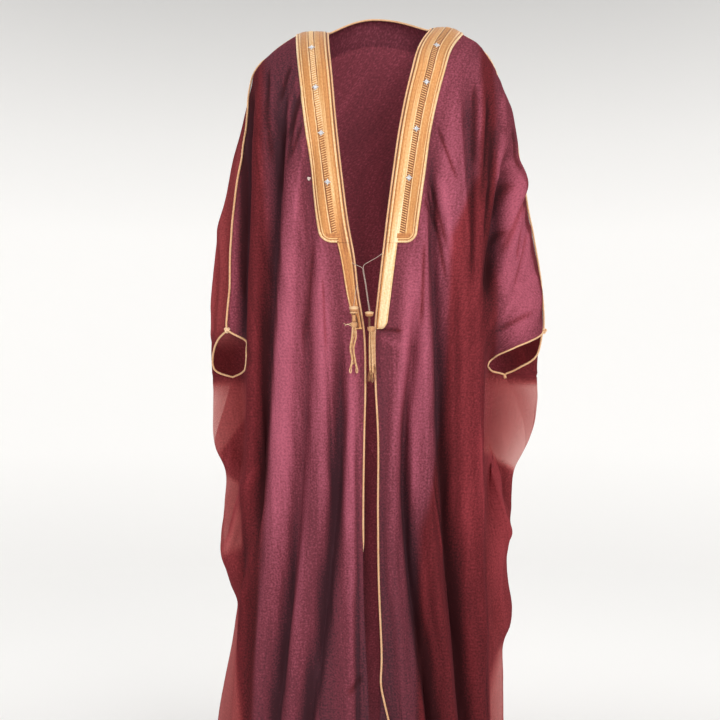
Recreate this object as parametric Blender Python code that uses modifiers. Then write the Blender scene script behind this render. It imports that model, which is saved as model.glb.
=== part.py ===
"""Bisht cloak, worn open: a wide, sheer overgarment with gold bands, gold piping and two tie tassels.

Metres, +Z up. The wearer's left is +X and the front faces -Y. The origin is midway between the two
shoulder points beside the neck, where the wearer's shoulders carry the cloak.

Every panel is a loft through level sections. A section runs from the front edge (girth 0) round the
side (girth 1) to the centre back (girth 2), and the folds are added along its outward normal.
"""

import math
from collections import namedtuple

import bpy
import numpy as np
from mathutils import Vector

WALL = 0.0015  # thickness of the cloth walls
SEAM_GAP = 0.0003  # clear space between two pieces sewn together
LIFT = 0.0006  # clear space under what lies on a panel
HEM_DROP = 1.455  # from the shoulder points down to the hem
BAND_WIDE = 0.060  # embroidered band, shoulder to chest
BAND_NARROW = 0.028  # embroidered band, chest to belly
BAND_THICK = 0.0014
NECK_BAND = 0.046  # embroidered band at the back of the neck
PIPING = 0.0021  # radius of the gold piping
SHOULDER_ROUND = 0.12  # drop over which a shoulder rounds from its seam to the chest or back
SLANT_DROP = 0.30  # drop over which the rows turn from the shoulder slope to level
SECTION_POWER = 0.80  # below 1 gives sections fuller than an ellipse
NAPE = (0.080, 0.045)  # back and rise of the neck edge at the centre back
RECESS_STARTS = (0.600, 0.700)  # drops between which the cloth steps back behind the hand
RECESS_FADES = (0.840, 1.080)  # drops between which it comes forward again under the hand
RECESS_STEP = 0.026  # width of the step
RECESS_SHARE = 0.78  # share of the side's fullness that the step takes away

RIGHT, LEFT = -1, 1  # sign of x on each side of the wearer

# The front edges and the side outline, as distance out from the centre, at each drop.
Edge = namedtuple("Edge", "drop right left")
FRONT_EDGE = [
    Edge(0.000, 0.096, 0.105),
    Edge(0.040, 0.093, 0.081),
    Edge(0.100, 0.087, 0.063),
    Edge(0.200, 0.075, 0.044),
    Edge(0.300, 0.064, 0.029),
    Edge(0.400, 0.053, 0.018),
    Edge(0.460, 0.043, 0.007),
    Edge(0.530, 0.034, -0.002),
    Edge(0.600, 0.027, -0.006),
    Edge(0.700, 0.025, -0.004),
    Edge(0.800, 0.028, 0.003),
    Edge(0.950, 0.030, 0.005),
    Edge(1.100, 0.028, 0.006),
    Edge(1.200, 0.024, 0.011),
    Edge(1.300, 0.019, 0.020),
    Edge(1.460, 0.014, 0.026),
]
OUTLINE = [
    Edge(0.036, 0.208, 0.225),
    Edge(0.053, 0.225, 0.233),
    Edge(0.075, 0.240, 0.243),
    Edge(0.110, 0.255, 0.256),
    Edge(0.160, 0.267, 0.275),
    Edge(0.210, 0.276, 0.287),
    Edge(0.260, 0.288, 0.295),
    Edge(0.350, 0.306, 0.309),
    Edge(0.430, 0.323, 0.321),
    Edge(0.510, 0.329, 0.334),
    Edge(0.600, 0.333, 0.342),
    Edge(0.660, 0.333, 0.331),
    Edge(0.740, 0.331, 0.330),
    Edge(0.800, 0.331, 0.321),
    Edge(0.840, 0.325, 0.304),
    Edge(0.880, 0.309, 0.287),
    Edge(0.950, 0.310, 0.280),
    Edge(1.010, 0.312, 0.270),
    Edge(1.060, 0.310, 0.269),
    Edge(1.110, 0.298, 0.273),
    Edge(1.145, 0.284, 0.276),
    Edge(1.185, 0.288, 0.275),
    Edge(1.225, 0.294, 0.264),
    Edge(1.300, 0.309, 0.263),
    Edge(1.380, 0.323, 0.264),
    Edge(1.460, 0.331, 0.264),
]
# The outer edge of the column of cloth that hangs from each shoulder in front of the arm.
COLUMN_EDGE = [
    Edge(0.100, 0.243, 0.212),
    Edge(0.200, 0.247, 0.221),
    Edge(0.300, 0.250, 0.235),
    Edge(0.400, 0.254, 0.230),
    Edge(0.500, 0.252, 0.216),
    Edge(0.600, 0.248, 0.205),
    Edge(0.700, 0.244, 0.199),
    Edge(0.800, 0.243, 0.198),
    Edge(0.950, 0.250, 0.199),
    Edge(1.100, 0.254, 0.203),
    Edge(1.460, 0.240, 0.212),
]
# Where the front, side and back of the base section lie, front to back, at each drop.
Depth = namedtuple("Depth", "drop front side back")
DEPTHS = [
    Depth(0.000, -0.105, 0.000, 0.112),
    Depth(0.050, -0.115, -0.002, 0.124),
    Depth(0.120, -0.128, -0.005, 0.138),
    Depth(0.250, -0.148, -0.010, 0.150),
    Depth(0.450, -0.160, -0.018, 0.155),
    Depth(0.620, -0.168, -0.016, 0.158),
    Depth(0.800, -0.173, 0.012, 0.165),
    Depth(1.050, -0.180, 0.036, 0.180),
    Depth(1.300, -0.190, 0.050, 0.200),
    Depth(1.460, -0.198, 0.056, 0.215),
]
# Height of the shoulder line over the origin's level, at each distance out.
Slope = namedtuple("Slope", "out right left")
SHOULDER_LINE = [
    Slope(0.097, 0.0000, 0.0060),
    Slope(0.155, -0.0040, 0.0060),
    Slope(0.186, -0.0220, -0.0100),
    Slope(0.206, -0.0360, -0.0200),
    Slope(0.225, -0.0530, -0.0360),
]
# The line where front and back meet, as a girth: seam down the arm, hand opening, then side line.
Meeting = namedtuple("Meeting", "drop front back")
SIDE_LINE = {
    RIGHT: [
        Meeting(0.053, 1.000, 1.000),
        Meeting(0.085, 1.000, 1.000),
        Meeting(0.160, 0.840, 0.840),
        Meeting(0.260, 0.744, 0.744),
        Meeting(0.420, 0.660, 0.660),
        Meeting(0.520, 0.650, 0.650),
        Meeting(0.598, 0.676, 0.676),
        Meeting(0.606, 0.622, 0.716),
        Meeting(0.616, 0.578, 0.770),
        Meeting(0.630, 0.540, 0.835),
        Meeting(0.648, 0.520, 0.895),
        Meeting(0.666, 0.528, 0.930),
        Meeting(0.680, 0.556, 0.880),
        Meeting(0.688, 0.596, 0.770),
        Meeting(0.694, 0.660, 0.660),
        Meeting(0.760, 0.760, 0.760),
        Meeting(0.880, 0.980, 0.980),
        Meeting(1.460, 1.000, 1.000),
    ],
    LEFT: [
        Meeting(0.036, 1.000, 1.000),
        Meeting(0.100, 1.050, 1.050),
        Meeting(0.200, 1.050, 1.050),
        Meeting(0.280, 1.000, 1.000),
        Meeting(0.400, 0.975, 0.975),
        Meeting(0.600, 0.980, 0.980),
        Meeting(0.607, 0.880, 0.985),
        Meeting(0.616, 0.770, 0.985),
        Meeting(0.629, 0.640, 0.975),
        Meeting(0.647, 0.520, 0.930),
        Meeting(0.660, 0.480, 0.830),
        Meeting(0.672, 0.470, 0.710),
        Meeting(0.682, 0.500, 0.640),
        Meeting(0.688, 0.580, 0.580),
        Meeting(0.760, 0.700, 0.700),
        Meeting(0.880, 0.970, 0.970),
        Meeting(1.460, 1.000, 1.000),
    ],
}

# Folds that hang down the fronts and the back. Places are distances out at four drops, widths are
# towards and away from the centre, and heights are at the chest and at the hem.
FOLD_DROPS = (0.15, 0.50, 0.90, 1.35)
Fold = namedtuple("Fold", "name chest waist knee hem starts ends inner outer high low")
FRONT_FOLDS = {
    RIGHT: [
        Fold("edge_ridge", 0.062, 0.050, 0.047, 0.054, 0.58, 1.60, 0.013, 0.015, 0.006, 0.012),
        Fold("edge_valley", 0.078, 0.073, 0.076, 0.131, 0.55, 1.60, 0.014, 0.014, -0.014, -0.030),
        Fold("middle_ridge", 0.107, 0.103, 0.116, 0.166, 0.25, 1.60, 0.018, 0.020, 0.007, 0.018),
        Fold("main_valley", 0.124, 0.132, 0.147, 0.195, 0.20, 1.60, 0.014, 0.011, -0.008, -0.020),
        Fold("main_ridge", 0.142, 0.164, 0.182, 0.218, 0.12, 1.60, 0.018, 0.026, 0.014, 0.024),
        Fold("armpit_valley", 0.184, 0.203, 0.226, 0.240, 0.08, 1.00, 0.014, 0.014, -0.026, -0.018),
        Fold("shoulder_ridge", 0.207, 0.212, 0.230, 0.240, 0.05, 0.48, 0.010, 0.012, 0.012, 0.008),
        Fold("column", 0.229, 0.230, 0.238, 0.262, 0.08, 1.60, 0.014, 0.014, 0.012, 0.018),
        Fold("sleeve_valley", 0.249, 0.262, 0.264, 0.264, 0.07, 0.70, 0.010, 0.010, -0.024, -0.024),
    ],
    LEFT: [
        Fold("edge_ridge", 0.066, 0.062, 0.027, 0.052, 0.40, 1.60, 0.013, 0.016, 0.008, 0.018),
        Fold("edge_valley", 0.080, 0.078, 0.051, 0.103, 0.50, 1.60, 0.009, 0.013, -0.012, -0.034),
        Fold("inner_ridge", 0.088, 0.091, 0.095, 0.136, 0.24, 1.60, 0.016, 0.012, 0.010, 0.026),
        Fold("main_valley", 0.102, 0.110, 0.129, 0.168, 0.20, 1.60, 0.009, 0.013, -0.016, -0.032),
        Fold("main_ridge", 0.156, 0.166, 0.169, 0.192, 0.10, 1.60, 0.026, 0.020, 0.010, 0.022),
        Fold("neck_valley", 0.172, 0.172, 0.160, 0.160, 0.05, 0.46, 0.010, 0.010, -0.010, -0.006),
        Fold("shoulder_ridge", 0.201, 0.192, 0.190, 0.200, 0.04, 1.30, 0.012, 0.013, 0.014, 0.012),
    ],
}
BACK_FOLDS = {
    RIGHT: [
        Fold("centre_valley", 0.034, 0.028, 0.024, 0.030, 0.16, 1.60, 0.018, 0.018, -0.003, -0.010),
        Fold("blade_ridge", 0.080, 0.070, 0.064, 0.076, 0.10, 1.60, 0.018, 0.022, 0.004, 0.022),
        Fold("blade_valley", 0.118, 0.108, 0.104, 0.124, 0.14, 1.60, 0.014, 0.012, -0.010, -0.030),
        Fold("shoulder_ridge", 0.156, 0.150, 0.150, 0.178, 0.08, 1.60, 0.020, 0.018, 0.014, 0.032),
        Fold("arm_valley", 0.200, 0.204, 0.200, 0.226, 0.10, 1.60, 0.013, 0.016, -0.020, -0.030),
        Fold("side_ridge", 0.236, 0.252, 0.244, 0.272, 0.12, 1.60, 0.018, 0.018, 0.012, 0.024),
    ],
    LEFT: [
        Fold("centre_valley", 0.022, 0.014, 0.010, 0.018, 0.16, 1.60, 0.014, 0.016, -0.006, -0.024),
        Fold("blade_ridge", 0.070, 0.058, 0.050, 0.056, 0.10, 1.60, 0.020, 0.018, 0.008, 0.026),
        Fold("blade_valley", 0.112, 0.098, 0.092, 0.098, 0.12, 1.60, 0.012, 0.014, -0.014, -0.030),
        Fold("shoulder_ridge", 0.154, 0.140, 0.136, 0.142, 0.08, 1.60, 0.018, 0.022, 0.012, 0.028),
        Fold("arm_valley", 0.204, 0.190, 0.180, 0.182, 0.10, 1.60, 0.014, 0.014, -0.024, -0.028),
        Fold("side_ridge", 0.244, 0.242, 0.218, 0.216, 0.12, 1.60, 0.018, 0.018, 0.012, 0.018),
    ],
}
# Creases that slant across a front, from a high place to a low one.
Crease = namedtuple("Crease", "name out_high drop_high out_low drop_low half_width height")
CREASES = {
    RIGHT: [
        Crease("knee_pull", 0.244, 0.860, 0.292, 1.080, 0.012, 0.010),
        Crease("knee_hollow", 0.222, 0.900, 0.270, 1.140, 0.012, -0.012),
    ],
    LEFT: [
        Crease("arm_hollow", 0.268, 0.230, 0.208, 0.560, 0.013, -0.034),
        Crease("arm_roll", 0.290, 0.240, 0.236, 0.560, 0.016, 0.012),
        Crease("hand_pull", 0.214, 0.800, 0.256, 1.030, 0.010, 0.014),
        Crease("hand_hollow", 0.236, 0.800, 0.268, 0.960, 0.009, -0.012),
    ],
}
# Folds that swing round the sides, from the arm down and forward, as girths.
Swag = namedtuple("Swag", "name girth_high girth_low drop_high drop_low half_drop height")
SWAGS = {
    RIGHT: [
        Swag("sleeve_pull", 1.30, 0.72, 0.26, 0.44, 0.028, 0.012),
        Swag("sleeve_bag", 1.50, 0.70, 0.36, 0.60, 0.036, 0.012),
        Swag("wrist_swag", 1.50, 0.62, 0.70, 0.88, 0.044, 0.018),
        Swag("low_swag", 1.50, 0.60, 0.90, 1.08, 0.046, 0.018),
    ],
    LEFT: [
        Swag("sleeve_pull", 1.30, 0.66, 0.22, 0.34, 0.026, 0.012),
        Swag("sleeve_bag", 1.50, 0.56, 0.40, 0.58, 0.040, 0.012),
        Swag("wrist_swag", 1.50, 0.60, 0.70, 0.90, 0.040, 0.018),
        Swag("low_swag", 1.50, 0.60, 0.88, 1.06, 0.040, 0.016),
        Swag("hem_swag", 1.50, 0.60, 1.06, 1.20, 0.045, 0.014),
    ],
}


# ---- curves through tables -------------------------------------------------------------------
def through(knots, values, at):
    """A smooth curve through the knots, level with the last values outside them."""
    knots = np.asarray(knots, float)
    values = np.asarray(values, float)
    at = np.clip(np.asarray(at, float), knots[0], knots[-1])
    slopes = np.gradient(values, knots)
    cell = np.clip(np.searchsorted(knots, at, side="right") - 1, 0, len(knots) - 2)
    length = knots[cell + 1] - knots[cell]
    t = (at - knots[cell]) / length
    rise = t * t * (3 - 2 * t)
    return (
        values[cell] * (1 - rise)
        + values[cell + 1] * rise
        + slopes[cell] * length * t * (1 - t) ** 2
        - slopes[cell + 1] * length * t * t * (1 - t)
    )


def column_of(table, name):
    return [getattr(row, name) for row in table]


def side_curve(table, side, drop):
    name = "right" if side == RIGHT else "left"
    return through(column_of(table, "drop"), column_of(table, name), drop)


def depth_curve(name, drop):
    return through(column_of(DEPTHS, "drop"), column_of(DEPTHS, name), drop)


def side_line(side, drop, name):
    """Girth of one panel's edge along the side."""
    table = SIDE_LINE[side]
    return np.interp(drop, column_of(table, "drop"), column_of(table, name))


def seam_line(side, drop):
    """Girth of the side line as if it were sewn all the way, with no hand opening."""
    table = [row for row in SIDE_LINE[side] if row.front == row.back]
    return np.interp(drop, column_of(table, "drop"), column_of(table, "front"))


def smooth_step(low, high, at):
    t = np.clip((np.asarray(at, float) - low) / (high - low), 0, 1)
    return t * t * (3 - 2 * t)


# ---- the worn form ---------------------------------------------------------------------------
def shoulder_height(side, out):
    name = "right" if side == RIGHT else "left"
    return through(column_of(SHOULDER_LINE, "out"), column_of(SHOULDER_LINE, name), out)


def neck_point(side):
    """How far out the shoulder seam starts, beside the neck."""
    return FRONT_EDGE[0].right if side == RIGHT else FRONT_EDGE[0].left


def shoulder_tip(side):
    """(distance out, drop) of the outer end of the shoulder line."""
    last = SHOULDER_LINE[-1]
    return last.out, -(last.right if side == RIGHT else last.left)


def fold_place(fold, drop):
    """How far out the middle of a hanging fold is."""
    return through(FOLD_DROPS, (fold.chest, fold.waist, fold.knee, fold.hem), drop)


def hanging_folds(folds, out, drop):
    """Sum of the folds at this distance out and drop."""
    total = np.zeros(np.broadcast(out, drop).shape)
    for fold in folds:
        away = out - fold_place(fold, drop)
        width = np.where(away < 0, fold.inner, fold.outer)
        grown = smooth_step(fold.starts, fold.starts + 0.16, drop)
        fading = 1 - smooth_step(fold.ends - 0.14, fold.ends, drop)
        height = fold.high + (fold.low - fold.high) * smooth_step(0.30, 1.20, drop)
        total = total + height * grown * fading * np.exp(-((away / width) ** 2))
    return total


def slanting_creases(side, out, drop):
    """Sum of the creases that slant across a front, at this distance out and drop."""
    total = np.zeros(np.broadcast(out, drop).shape)
    for crease in CREASES[side]:
        run = np.array([crease.out_low - crease.out_high, crease.drop_low - crease.drop_high])
        length = np.hypot(*run)
        run = run / length
        along = ((out - crease.out_high) * run[0] + (drop - crease.drop_high) * run[1]) / length
        aside = (out - crease.out_high) * run[1] - (drop - crease.drop_high) * run[0]
        ends = smooth_step(0.0, 0.25, along) * (1 - smooth_step(0.75, 1.0, along))
        total = total + crease.height * ends * np.exp(-((aside / crease.half_width) ** 2))
    return total


def swag_folds(side, girth, drop):
    """Sum of the folds that swing round the side; the side's own outline already holds its part."""
    total = np.zeros(np.broadcast(girth, drop).shape)
    for swag in SWAGS[side]:
        along = (swag.girth_high - girth) / (swag.girth_high - swag.girth_low)
        centre = swag.drop_high + (swag.drop_low - swag.drop_high) * along
        ends = np.clip(1 - (2 * along - 1) ** 2, 0, 1)
        total = total + swag.height * ends * np.exp(-(((drop - centre) / swag.half_drop) ** 2))
    return total * (1 - np.exp(-(((girth - 1) / 0.14) ** 2)))


def base_section(side, girth, drop, edge, outline, cap, top_back):
    """Plan position of the section before its folds, with x still counted outward."""
    angle = girth * math.pi / 2
    front = girth <= 1
    reach = np.sin(angle)
    out = np.where(front, edge + (outline - edge) * reach, outline * reach)
    bulge = np.abs(np.cos(angle)) ** SECTION_POWER
    column = side_curve(COLUMN_EDGE, side, drop)
    behind = smooth_step(*RECESS_STARTS, drop) * (1 - smooth_step(*RECESS_FADES, drop))
    behind = behind * smooth_step(0.0, RECESS_STEP, out - column)
    flatten = np.where(front, 1 - RECESS_SHARE * behind, 1)
    side_y = depth_curve("side", drop)
    far = np.where(front, depth_curve("front", drop), depth_curve("back", drop))
    return out, side_y + (far - side_y) * bulge * flatten * cap + top_back * (1 - cap)


def worn_point(side, girth, drop, edge, outline, cap, top_back):
    """Points of the cloak, as an array ending in x, y, z."""
    step = 0.004
    out, back = base_section(side, girth, drop, edge, outline, cap, top_back)
    out_a, back_a = base_section(side, girth - step, drop, edge, outline, cap, top_back)
    out_b, back_b = base_section(side, girth + step, drop, edge, outline, cap, top_back)
    run_out, run_back = out_b - out_a, back_b - back_a
    length = np.maximum(np.hypot(run_out, run_back), 1e-9)
    front = hanging_folds(FRONT_FOLDS[side], out, drop) + slanting_creases(side, out, drop)
    front = front * smooth_step(1.06, 0.96, girth)
    rear = hanging_folds(BACK_FOLDS[side], out, drop) * smooth_step(1.00, 1.12, girth)
    rear = rear * smooth_step(0.0, 0.03, out)
    height = (front + rear + swag_folds(side, girth, drop)) * cap
    x = side * (out + height * run_back / length)
    y = back - height * run_out / length
    return np.stack([x, y, -drop + np.zeros_like(x)], axis=-1)


def rounded_cap(fall):
    """0 at a shoulder seam, rising to 1 where the shoulder has rounded into the chest or back."""
    t = np.clip(fall / SHOULDER_ROUND, 0, 1)
    return np.sqrt(np.maximum(1 - (1 - t) ** 2, 0))


def slanted(row, top):
    """Drop of a row's point under a top edge that is this far down."""
    fade = np.maximum(0, 1 - row / SLANT_DROP) ** 2
    return row + top * fade


def along_lines(lines, share):
    """Distance out at a share of the way across, where the lines are evenly shared out."""
    count = len(lines) - 1
    out = lines[0]
    for k in range(count):
        out = out + (lines[k + 1] - lines[k]) * np.clip(share * count - k, 0, 1)
    return out


def kept_apart(lines, limit, room):
    """The lines in order, each at least this far past the one before and inside the limit."""
    kept = [lines[0]]
    for k, line in enumerate(lines[1:], 1):
        line = np.minimum(line, limit - (len(lines) - k) * room)
        kept.append(np.maximum(line, kept[-1] + room))
    return kept


# The lines that a panel's columns follow, named by their folds, from the centre outward.
FRONT_LINES = {
    RIGHT: ("edge_ridge", "edge_valley", "middle_ridge", "main_valley", "main_ridge"),
    LEFT: ("edge_ridge", "edge_valley", "inner_ridge", "main_valley", "main_ridge"),
}
OUTER_LINE = {RIGHT: "armpit_valley", LEFT: "shoulder_ridge"}
BACK_LINES = (
    "centre_valley",
    "blade_ridge",
    "blade_valley",
    "shoulder_ridge",
    "arm_valley",
    "side_ridge",
)
FRONT_GAPS = len(FRONT_LINES[RIGHT]) + 2  # gaps between lines, up to the column's outer edge
BACK_GAPS = len(BACK_LINES)
ARM_SHARE, SIDE_SHARE = 0.70, 0.62  # shares of a panel's width that end at its last line


def front_lines(side, drop, edge, outline):
    """Distances out of a front's lines: its edge, the bands' edges, its folds and the column."""
    folds = {fold.name: fold for fold in FRONT_FOLDS[side]}
    band = 1 - smooth_step(0.62, 0.86, drop)
    widths = (BAND_NARROW / 2, BAND_NARROW, BAND_WIDE)
    lines = [edge]
    for name, width in zip(FRONT_LINES[side], widths):
        free = fold_place(folds[name], drop)
        lines.append((edge + width) * band + free * (1 - band))
    for name in (*FRONT_LINES[side][3:], OUTER_LINE[side]):
        lines.append(fold_place(folds[name], drop))
    lines.append(side_curve(COLUMN_EDGE, side, drop))
    return lines[:4] + kept_apart(lines[3:], outline, 0.008)[1:]


def front_points(side, across, row):
    """Points of a front. across runs from 0 at the front edge to 1 at the side line."""
    across, row = np.broadcast_arrays(np.asarray(across, float), np.asarray(row, float))
    tip_out, tip_drop = shoulder_tip(side)
    start = neck_point(side)
    share = across / ARM_SHARE
    beyond = np.clip((across - ARM_SHARE) / (1 - ARM_SHARE), 0, 1)

    def girth_at(lines, span, end):
        out = along_lines(lines, np.minimum(share, 1))
        girth = np.arcsin(np.clip((out - lines[0]) / span, 0, 1)) * 2 / math.pi
        girth = np.minimum(girth, end * 0.93)
        return girth + (end - girth) * beyond

    top_lines = front_lines(side, tip_drop, start, tip_out)
    top_girth = girth_at(top_lines, tip_out - start, 1.0)
    top_out = start + (tip_out - start) * np.sin(top_girth * math.pi / 2)
    top_drop = -shoulder_height(side, top_out)
    drop = slanted(row, top_drop)
    side_drop = slanted(row, tip_drop)
    edge = side_curve(FRONT_EDGE, side, slanted(row, -shoulder_height(side, start)))
    outline = side_curve(OUTLINE, side, side_drop)
    end = side_line(side, side_drop, "front")
    girth = girth_at(front_lines(side, side_drop, edge, outline), outline - edge, end)
    cap = rounded_cap(drop - top_drop)
    return worn_point(side, girth, drop, edge, outline, cap, 0.0)


def back_lines(side, drop, outline, row):
    """Distances out of the lines of half the back: its folds, and the neck corner at the top."""
    folds = {fold.name: fold for fold in BACK_FOLDS[side]}
    start = neck_point(side)
    top = np.array([0.34, 0.68, 1.0]) * start
    level = smooth_step(0.02, 0.34, row)
    lines = [0.0 * row]
    for k, name in enumerate(BACK_LINES):
        free = fold_place(folds[name], drop)
        lines.append(top[k] * (1 - level) + free * level if k < 3 else free)
    return lines[:4] + kept_apart(lines[3:], outline, 0.009)[1:]


def back_points(side, across, row):
    """Points of half the back. across runs from 0 at the centre to 1 at the side line."""
    across, row = np.broadcast_arrays(np.asarray(across, float), np.asarray(row, float))
    tip_out, tip_drop = shoulder_tip(side)
    start = neck_point(side)
    share = across / SIDE_SHARE
    beyond = np.clip((across - SIDE_SHARE) / (1 - SIDE_SHARE), 0, 1)

    def girth_at(lines, span, sewn, end):
        out = along_lines(lines, np.minimum(share, 1))
        girth = 2 - np.arcsin(np.clip(out / span, 0, 1)) * 2 / math.pi
        hold = np.clip((beyond - 0.4) / 0.6, 0, 1)
        return girth + (sewn - girth) * beyond + (end - sewn) * hold

    top_girth = girth_at(back_lines(side, tip_drop, tip_out, 0 * row), tip_out, 1.0, 1.0)
    top_out = tip_out * np.sin(top_girth * math.pi / 2)
    on_neck = np.clip(top_out / start, 0, 1)
    nape_back, nape_rise = NAPE
    top_back = nape_back * np.sqrt(np.maximum(1 - on_neck**2, 0))
    seam_height = shoulder_height(side, np.maximum(top_out, start))
    top_drop = -(seam_height + (nape_rise - seam_height) * (1 - on_neck**2))
    drop = slanted(row, top_drop)
    side_drop = slanted(row, tip_drop)
    edge = side_curve(FRONT_EDGE, side, slanted(row, -shoulder_height(side, start)))
    outline = side_curve(OUTLINE, side, side_drop)
    lines = back_lines(side, side_drop, outline, row)
    ends = seam_line(side, side_drop), side_line(side, side_drop, "back")
    girth = girth_at(lines, outline, *ends)
    cap = rounded_cap(drop - top_drop)
    return worn_point(side, girth, drop, edge, outline, cap, top_back)


# ---- rows and columns ------------------------------------------------------------------------
CHEST_ROWS, SKIRT_ROWS = 6, 14
SHOULDER_ROWS = (0.0, 0.002, 0.009, 0.021, 0.038, 0.060, 0.089, 0.124)
OPENING_ROWS = (0.600, 0.607, 0.617, 0.631, 0.648, 0.664, 0.677, 0.686, 0.694)
WIDE_END_ROW, NARROW_END_ROW = 0.425, 0.600


def row_drops():
    """Drops of the rows: close over the shoulders and the hand openings, wider elsewhere."""
    chest = np.linspace(0.168, WIDE_END_ROW, CHEST_ROWS)
    belly = np.linspace(WIDE_END_ROW, OPENING_ROWS[0], 6)[1:-1]
    skirt = np.linspace(OPENING_ROWS[-1], HEM_DROP, SKIRT_ROWS)[1:]
    return np.concatenate([SHOULDER_ROWS, chest, belly, OPENING_ROWS, skirt])


def front_columns():
    """Shares of a front's width: one in each band column, two between folds, then the arm."""
    step = ARM_SHARE / FRONT_GAPS
    lines = [0.0, step, 2 * step]
    folds = np.linspace(2 * step, ARM_SHARE, 2 * (FRONT_GAPS - 2) + 1)[1:]
    arm = np.linspace(ARM_SHARE, 1.0, 6)[1:]
    return np.concatenate([lines, folds, arm])


def back_columns():
    """Shares of half the back's width: two between folds, then round the side."""
    folds = np.linspace(0, SIDE_SHARE, 2 * BACK_GAPS + 1)
    side = np.linspace(SIDE_SHARE, 1.0, 6)[1:]
    return np.concatenate([folds, side])


NECK_COLUMNS = 6  # columns from the centre back to the neck corner
NECK_BAND_COLUMNS = 8  # and to the outer edge of the neck band
WIDE_BAND_COLUMNS = 5  # columns across the wide band, and across the narrow one
NARROW_BAND_COLUMNS = 3


def drawn_back(line, inner, by):
    """A sewn edge drawn back into its panel."""
    way = inner - line
    length = np.maximum(np.linalg.norm(way, axis=-1, keepdims=True), 1e-9)
    return line + way / length * by


def hollow_allowance(line, inner, outward):
    """How far walls that lean together over a hollow seam have to be drawn back."""
    way = inner - line
    way = way / np.maximum(np.linalg.norm(way, axis=-1, keepdims=True), 1e-9)
    lean = np.clip(np.sum(way * outward, axis=-1, keepdims=True), 0, 0.9)
    return 1.3 * WALL * lean / np.sqrt(1 - lean**2)


def sewn_grids():
    """The back and both fronts as grids, with their sewn edges half a seam gap from the seam."""
    back = back_grid()
    fronts = {side: front_grid(side) for side in (RIGHT, LEFT)}
    back_out = grid_normals(back, True)
    for side, column, inner in ((RIGHT, 0, 1), (LEFT, -1, -2)):
        front = fronts[side]
        up = grid_normals(front, side == RIGHT)[:, -1] + back_out[:, column]
        up = up / np.maximum(np.linalg.norm(up, axis=-1, keepdims=True), 1e-9)
        pull = SEAM_GAP / 2 + hollow_allowance(front[:, -1], front[:, -2], up)
        front[:, -1] = drawn_back(front[:, -1], front[:, -2], pull)
        pull = SEAM_GAP / 2 + hollow_allowance(back[:, column], back[:, inner], up)
        back[:, column] = drawn_back(back[:, column], back[:, inner], pull)
        front[0] = drawn_back(front[0], front[1], SEAM_GAP / 2)
        front[:3, -1, 1] -= SEAM_GAP
        back[:3, column, 1] += SEAM_GAP
    back[0] = drawn_back(back[0], back[1], SEAM_GAP / 2)
    return back, fronts


# ---- Blender objects -------------------------------------------------------------------------
def clear_scene():
    for obj in list(bpy.data.objects):
        bpy.data.objects.remove(obj)


def make_material(name, colour, roughness, metallic=0.0):
    material = bpy.data.materials.new(name)
    material.use_nodes = True
    shader = material.node_tree.nodes["Principled BSDF"]
    shader.inputs["Base Color"].default_value = (*colour, 1)
    shader.inputs["Roughness"].default_value = roughness
    shader.inputs["Metallic"].default_value = metallic
    return material


def add_object(name, data, material, collection):
    obj = bpy.data.objects.new(name, data)
    data.materials.append(material)
    collection.objects.link(obj)
    return obj


def sheet_object(name, points, material, collection, thickness, flip):
    """A lofted grid given its thickness by Solidify, which puts the wall outside the grid."""
    rows, columns = points.shape[:2]
    faces = []
    for i in range(rows - 1):
        for j in range(columns - 1):
            corners = [
                i * columns + j,
                (i + 1) * columns + j,
                (i + 1) * columns + j + 1,
                i * columns + j + 1,
            ]
            faces.append(corners[::-1] if flip else corners)
    mesh = bpy.data.meshes.new(name)
    mesh.from_pydata(points.reshape(-1, 3).tolist(), [], faces)
    mesh.shade_smooth()
    obj = add_object(name, mesh, material, collection)
    solidify = obj.modifiers.new("Wall", "SOLIDIFY")
    solidify.thickness = thickness
    solidify.offset = 1
    return obj


def tube_object(name, points, radius, material, collection):
    """A cord: a poly curve with a round bevel and filled caps."""
    curve = bpy.data.curves.new(name, "CURVE")
    curve.dimensions = "3D"
    curve.bevel_depth = radius
    curve.bevel_resolution = 2
    curve.use_fill_caps = True
    spline = curve.splines.new("POLY")
    spline.points.add(len(points) - 1)
    for target, point in zip(spline.points, points):
        target.co = (*point, 1)
    return add_object(name, curve, material, collection)


def grid_normals(points, flip):
    """Outward unit normals of a grid."""
    down = np.gradient(points, axis=0)
    across = np.gradient(points, axis=1)
    normals = np.cross(down, across) * (-1 if flip else 1)
    return normals / np.maximum(np.linalg.norm(normals, axis=-1, keepdims=True), 1e-12)


# ---- the garment's pieces --------------------------------------------------------------------
def front_grid(side):
    return front_points(side, front_columns()[None, :], row_drops()[:, None])


def back_grid():
    rows = row_drops()[:, None]
    columns = back_columns()
    right = back_points(RIGHT, columns[None, ::-1], rows)
    left = back_points(LEFT, columns[None, :], rows)
    right[:, -1] = 0.5 * (right[:, -1] + left[:, 0])
    return np.concatenate([right, left[:, 1:]], axis=1)


def make_front_bands(side, word, material, collection):
    """The wide band down to the chest, and the narrow band below it, on the front's own points."""
    grid = front_grid(side)
    lifted = grid + grid_normals(grid, side == RIGHT) * (WALL + LIFT)
    drops = row_drops()
    step = int(np.argmin(abs(drops - WIDE_END_ROW)))
    end = int(np.argmin(abs(drops - NARROW_END_ROW)))
    wide = lifted[: step + 1, :WIDE_BAND_COLUMNS].copy()
    wide[0] = drawn_back(wide[0], wide[1], SEAM_GAP)
    sheet_object(f"band_wide_{word}", wide, material, collection, BAND_THICK, side == RIGHT)
    narrow = lifted[step : end + 1, :NARROW_BAND_COLUMNS].copy()
    narrow[0] = drawn_back(narrow[0], narrow[1], SEAM_GAP)
    sheet_object(f"band_narrow_{word}", narrow, material, collection, BAND_THICK, side == RIGHT)


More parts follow.
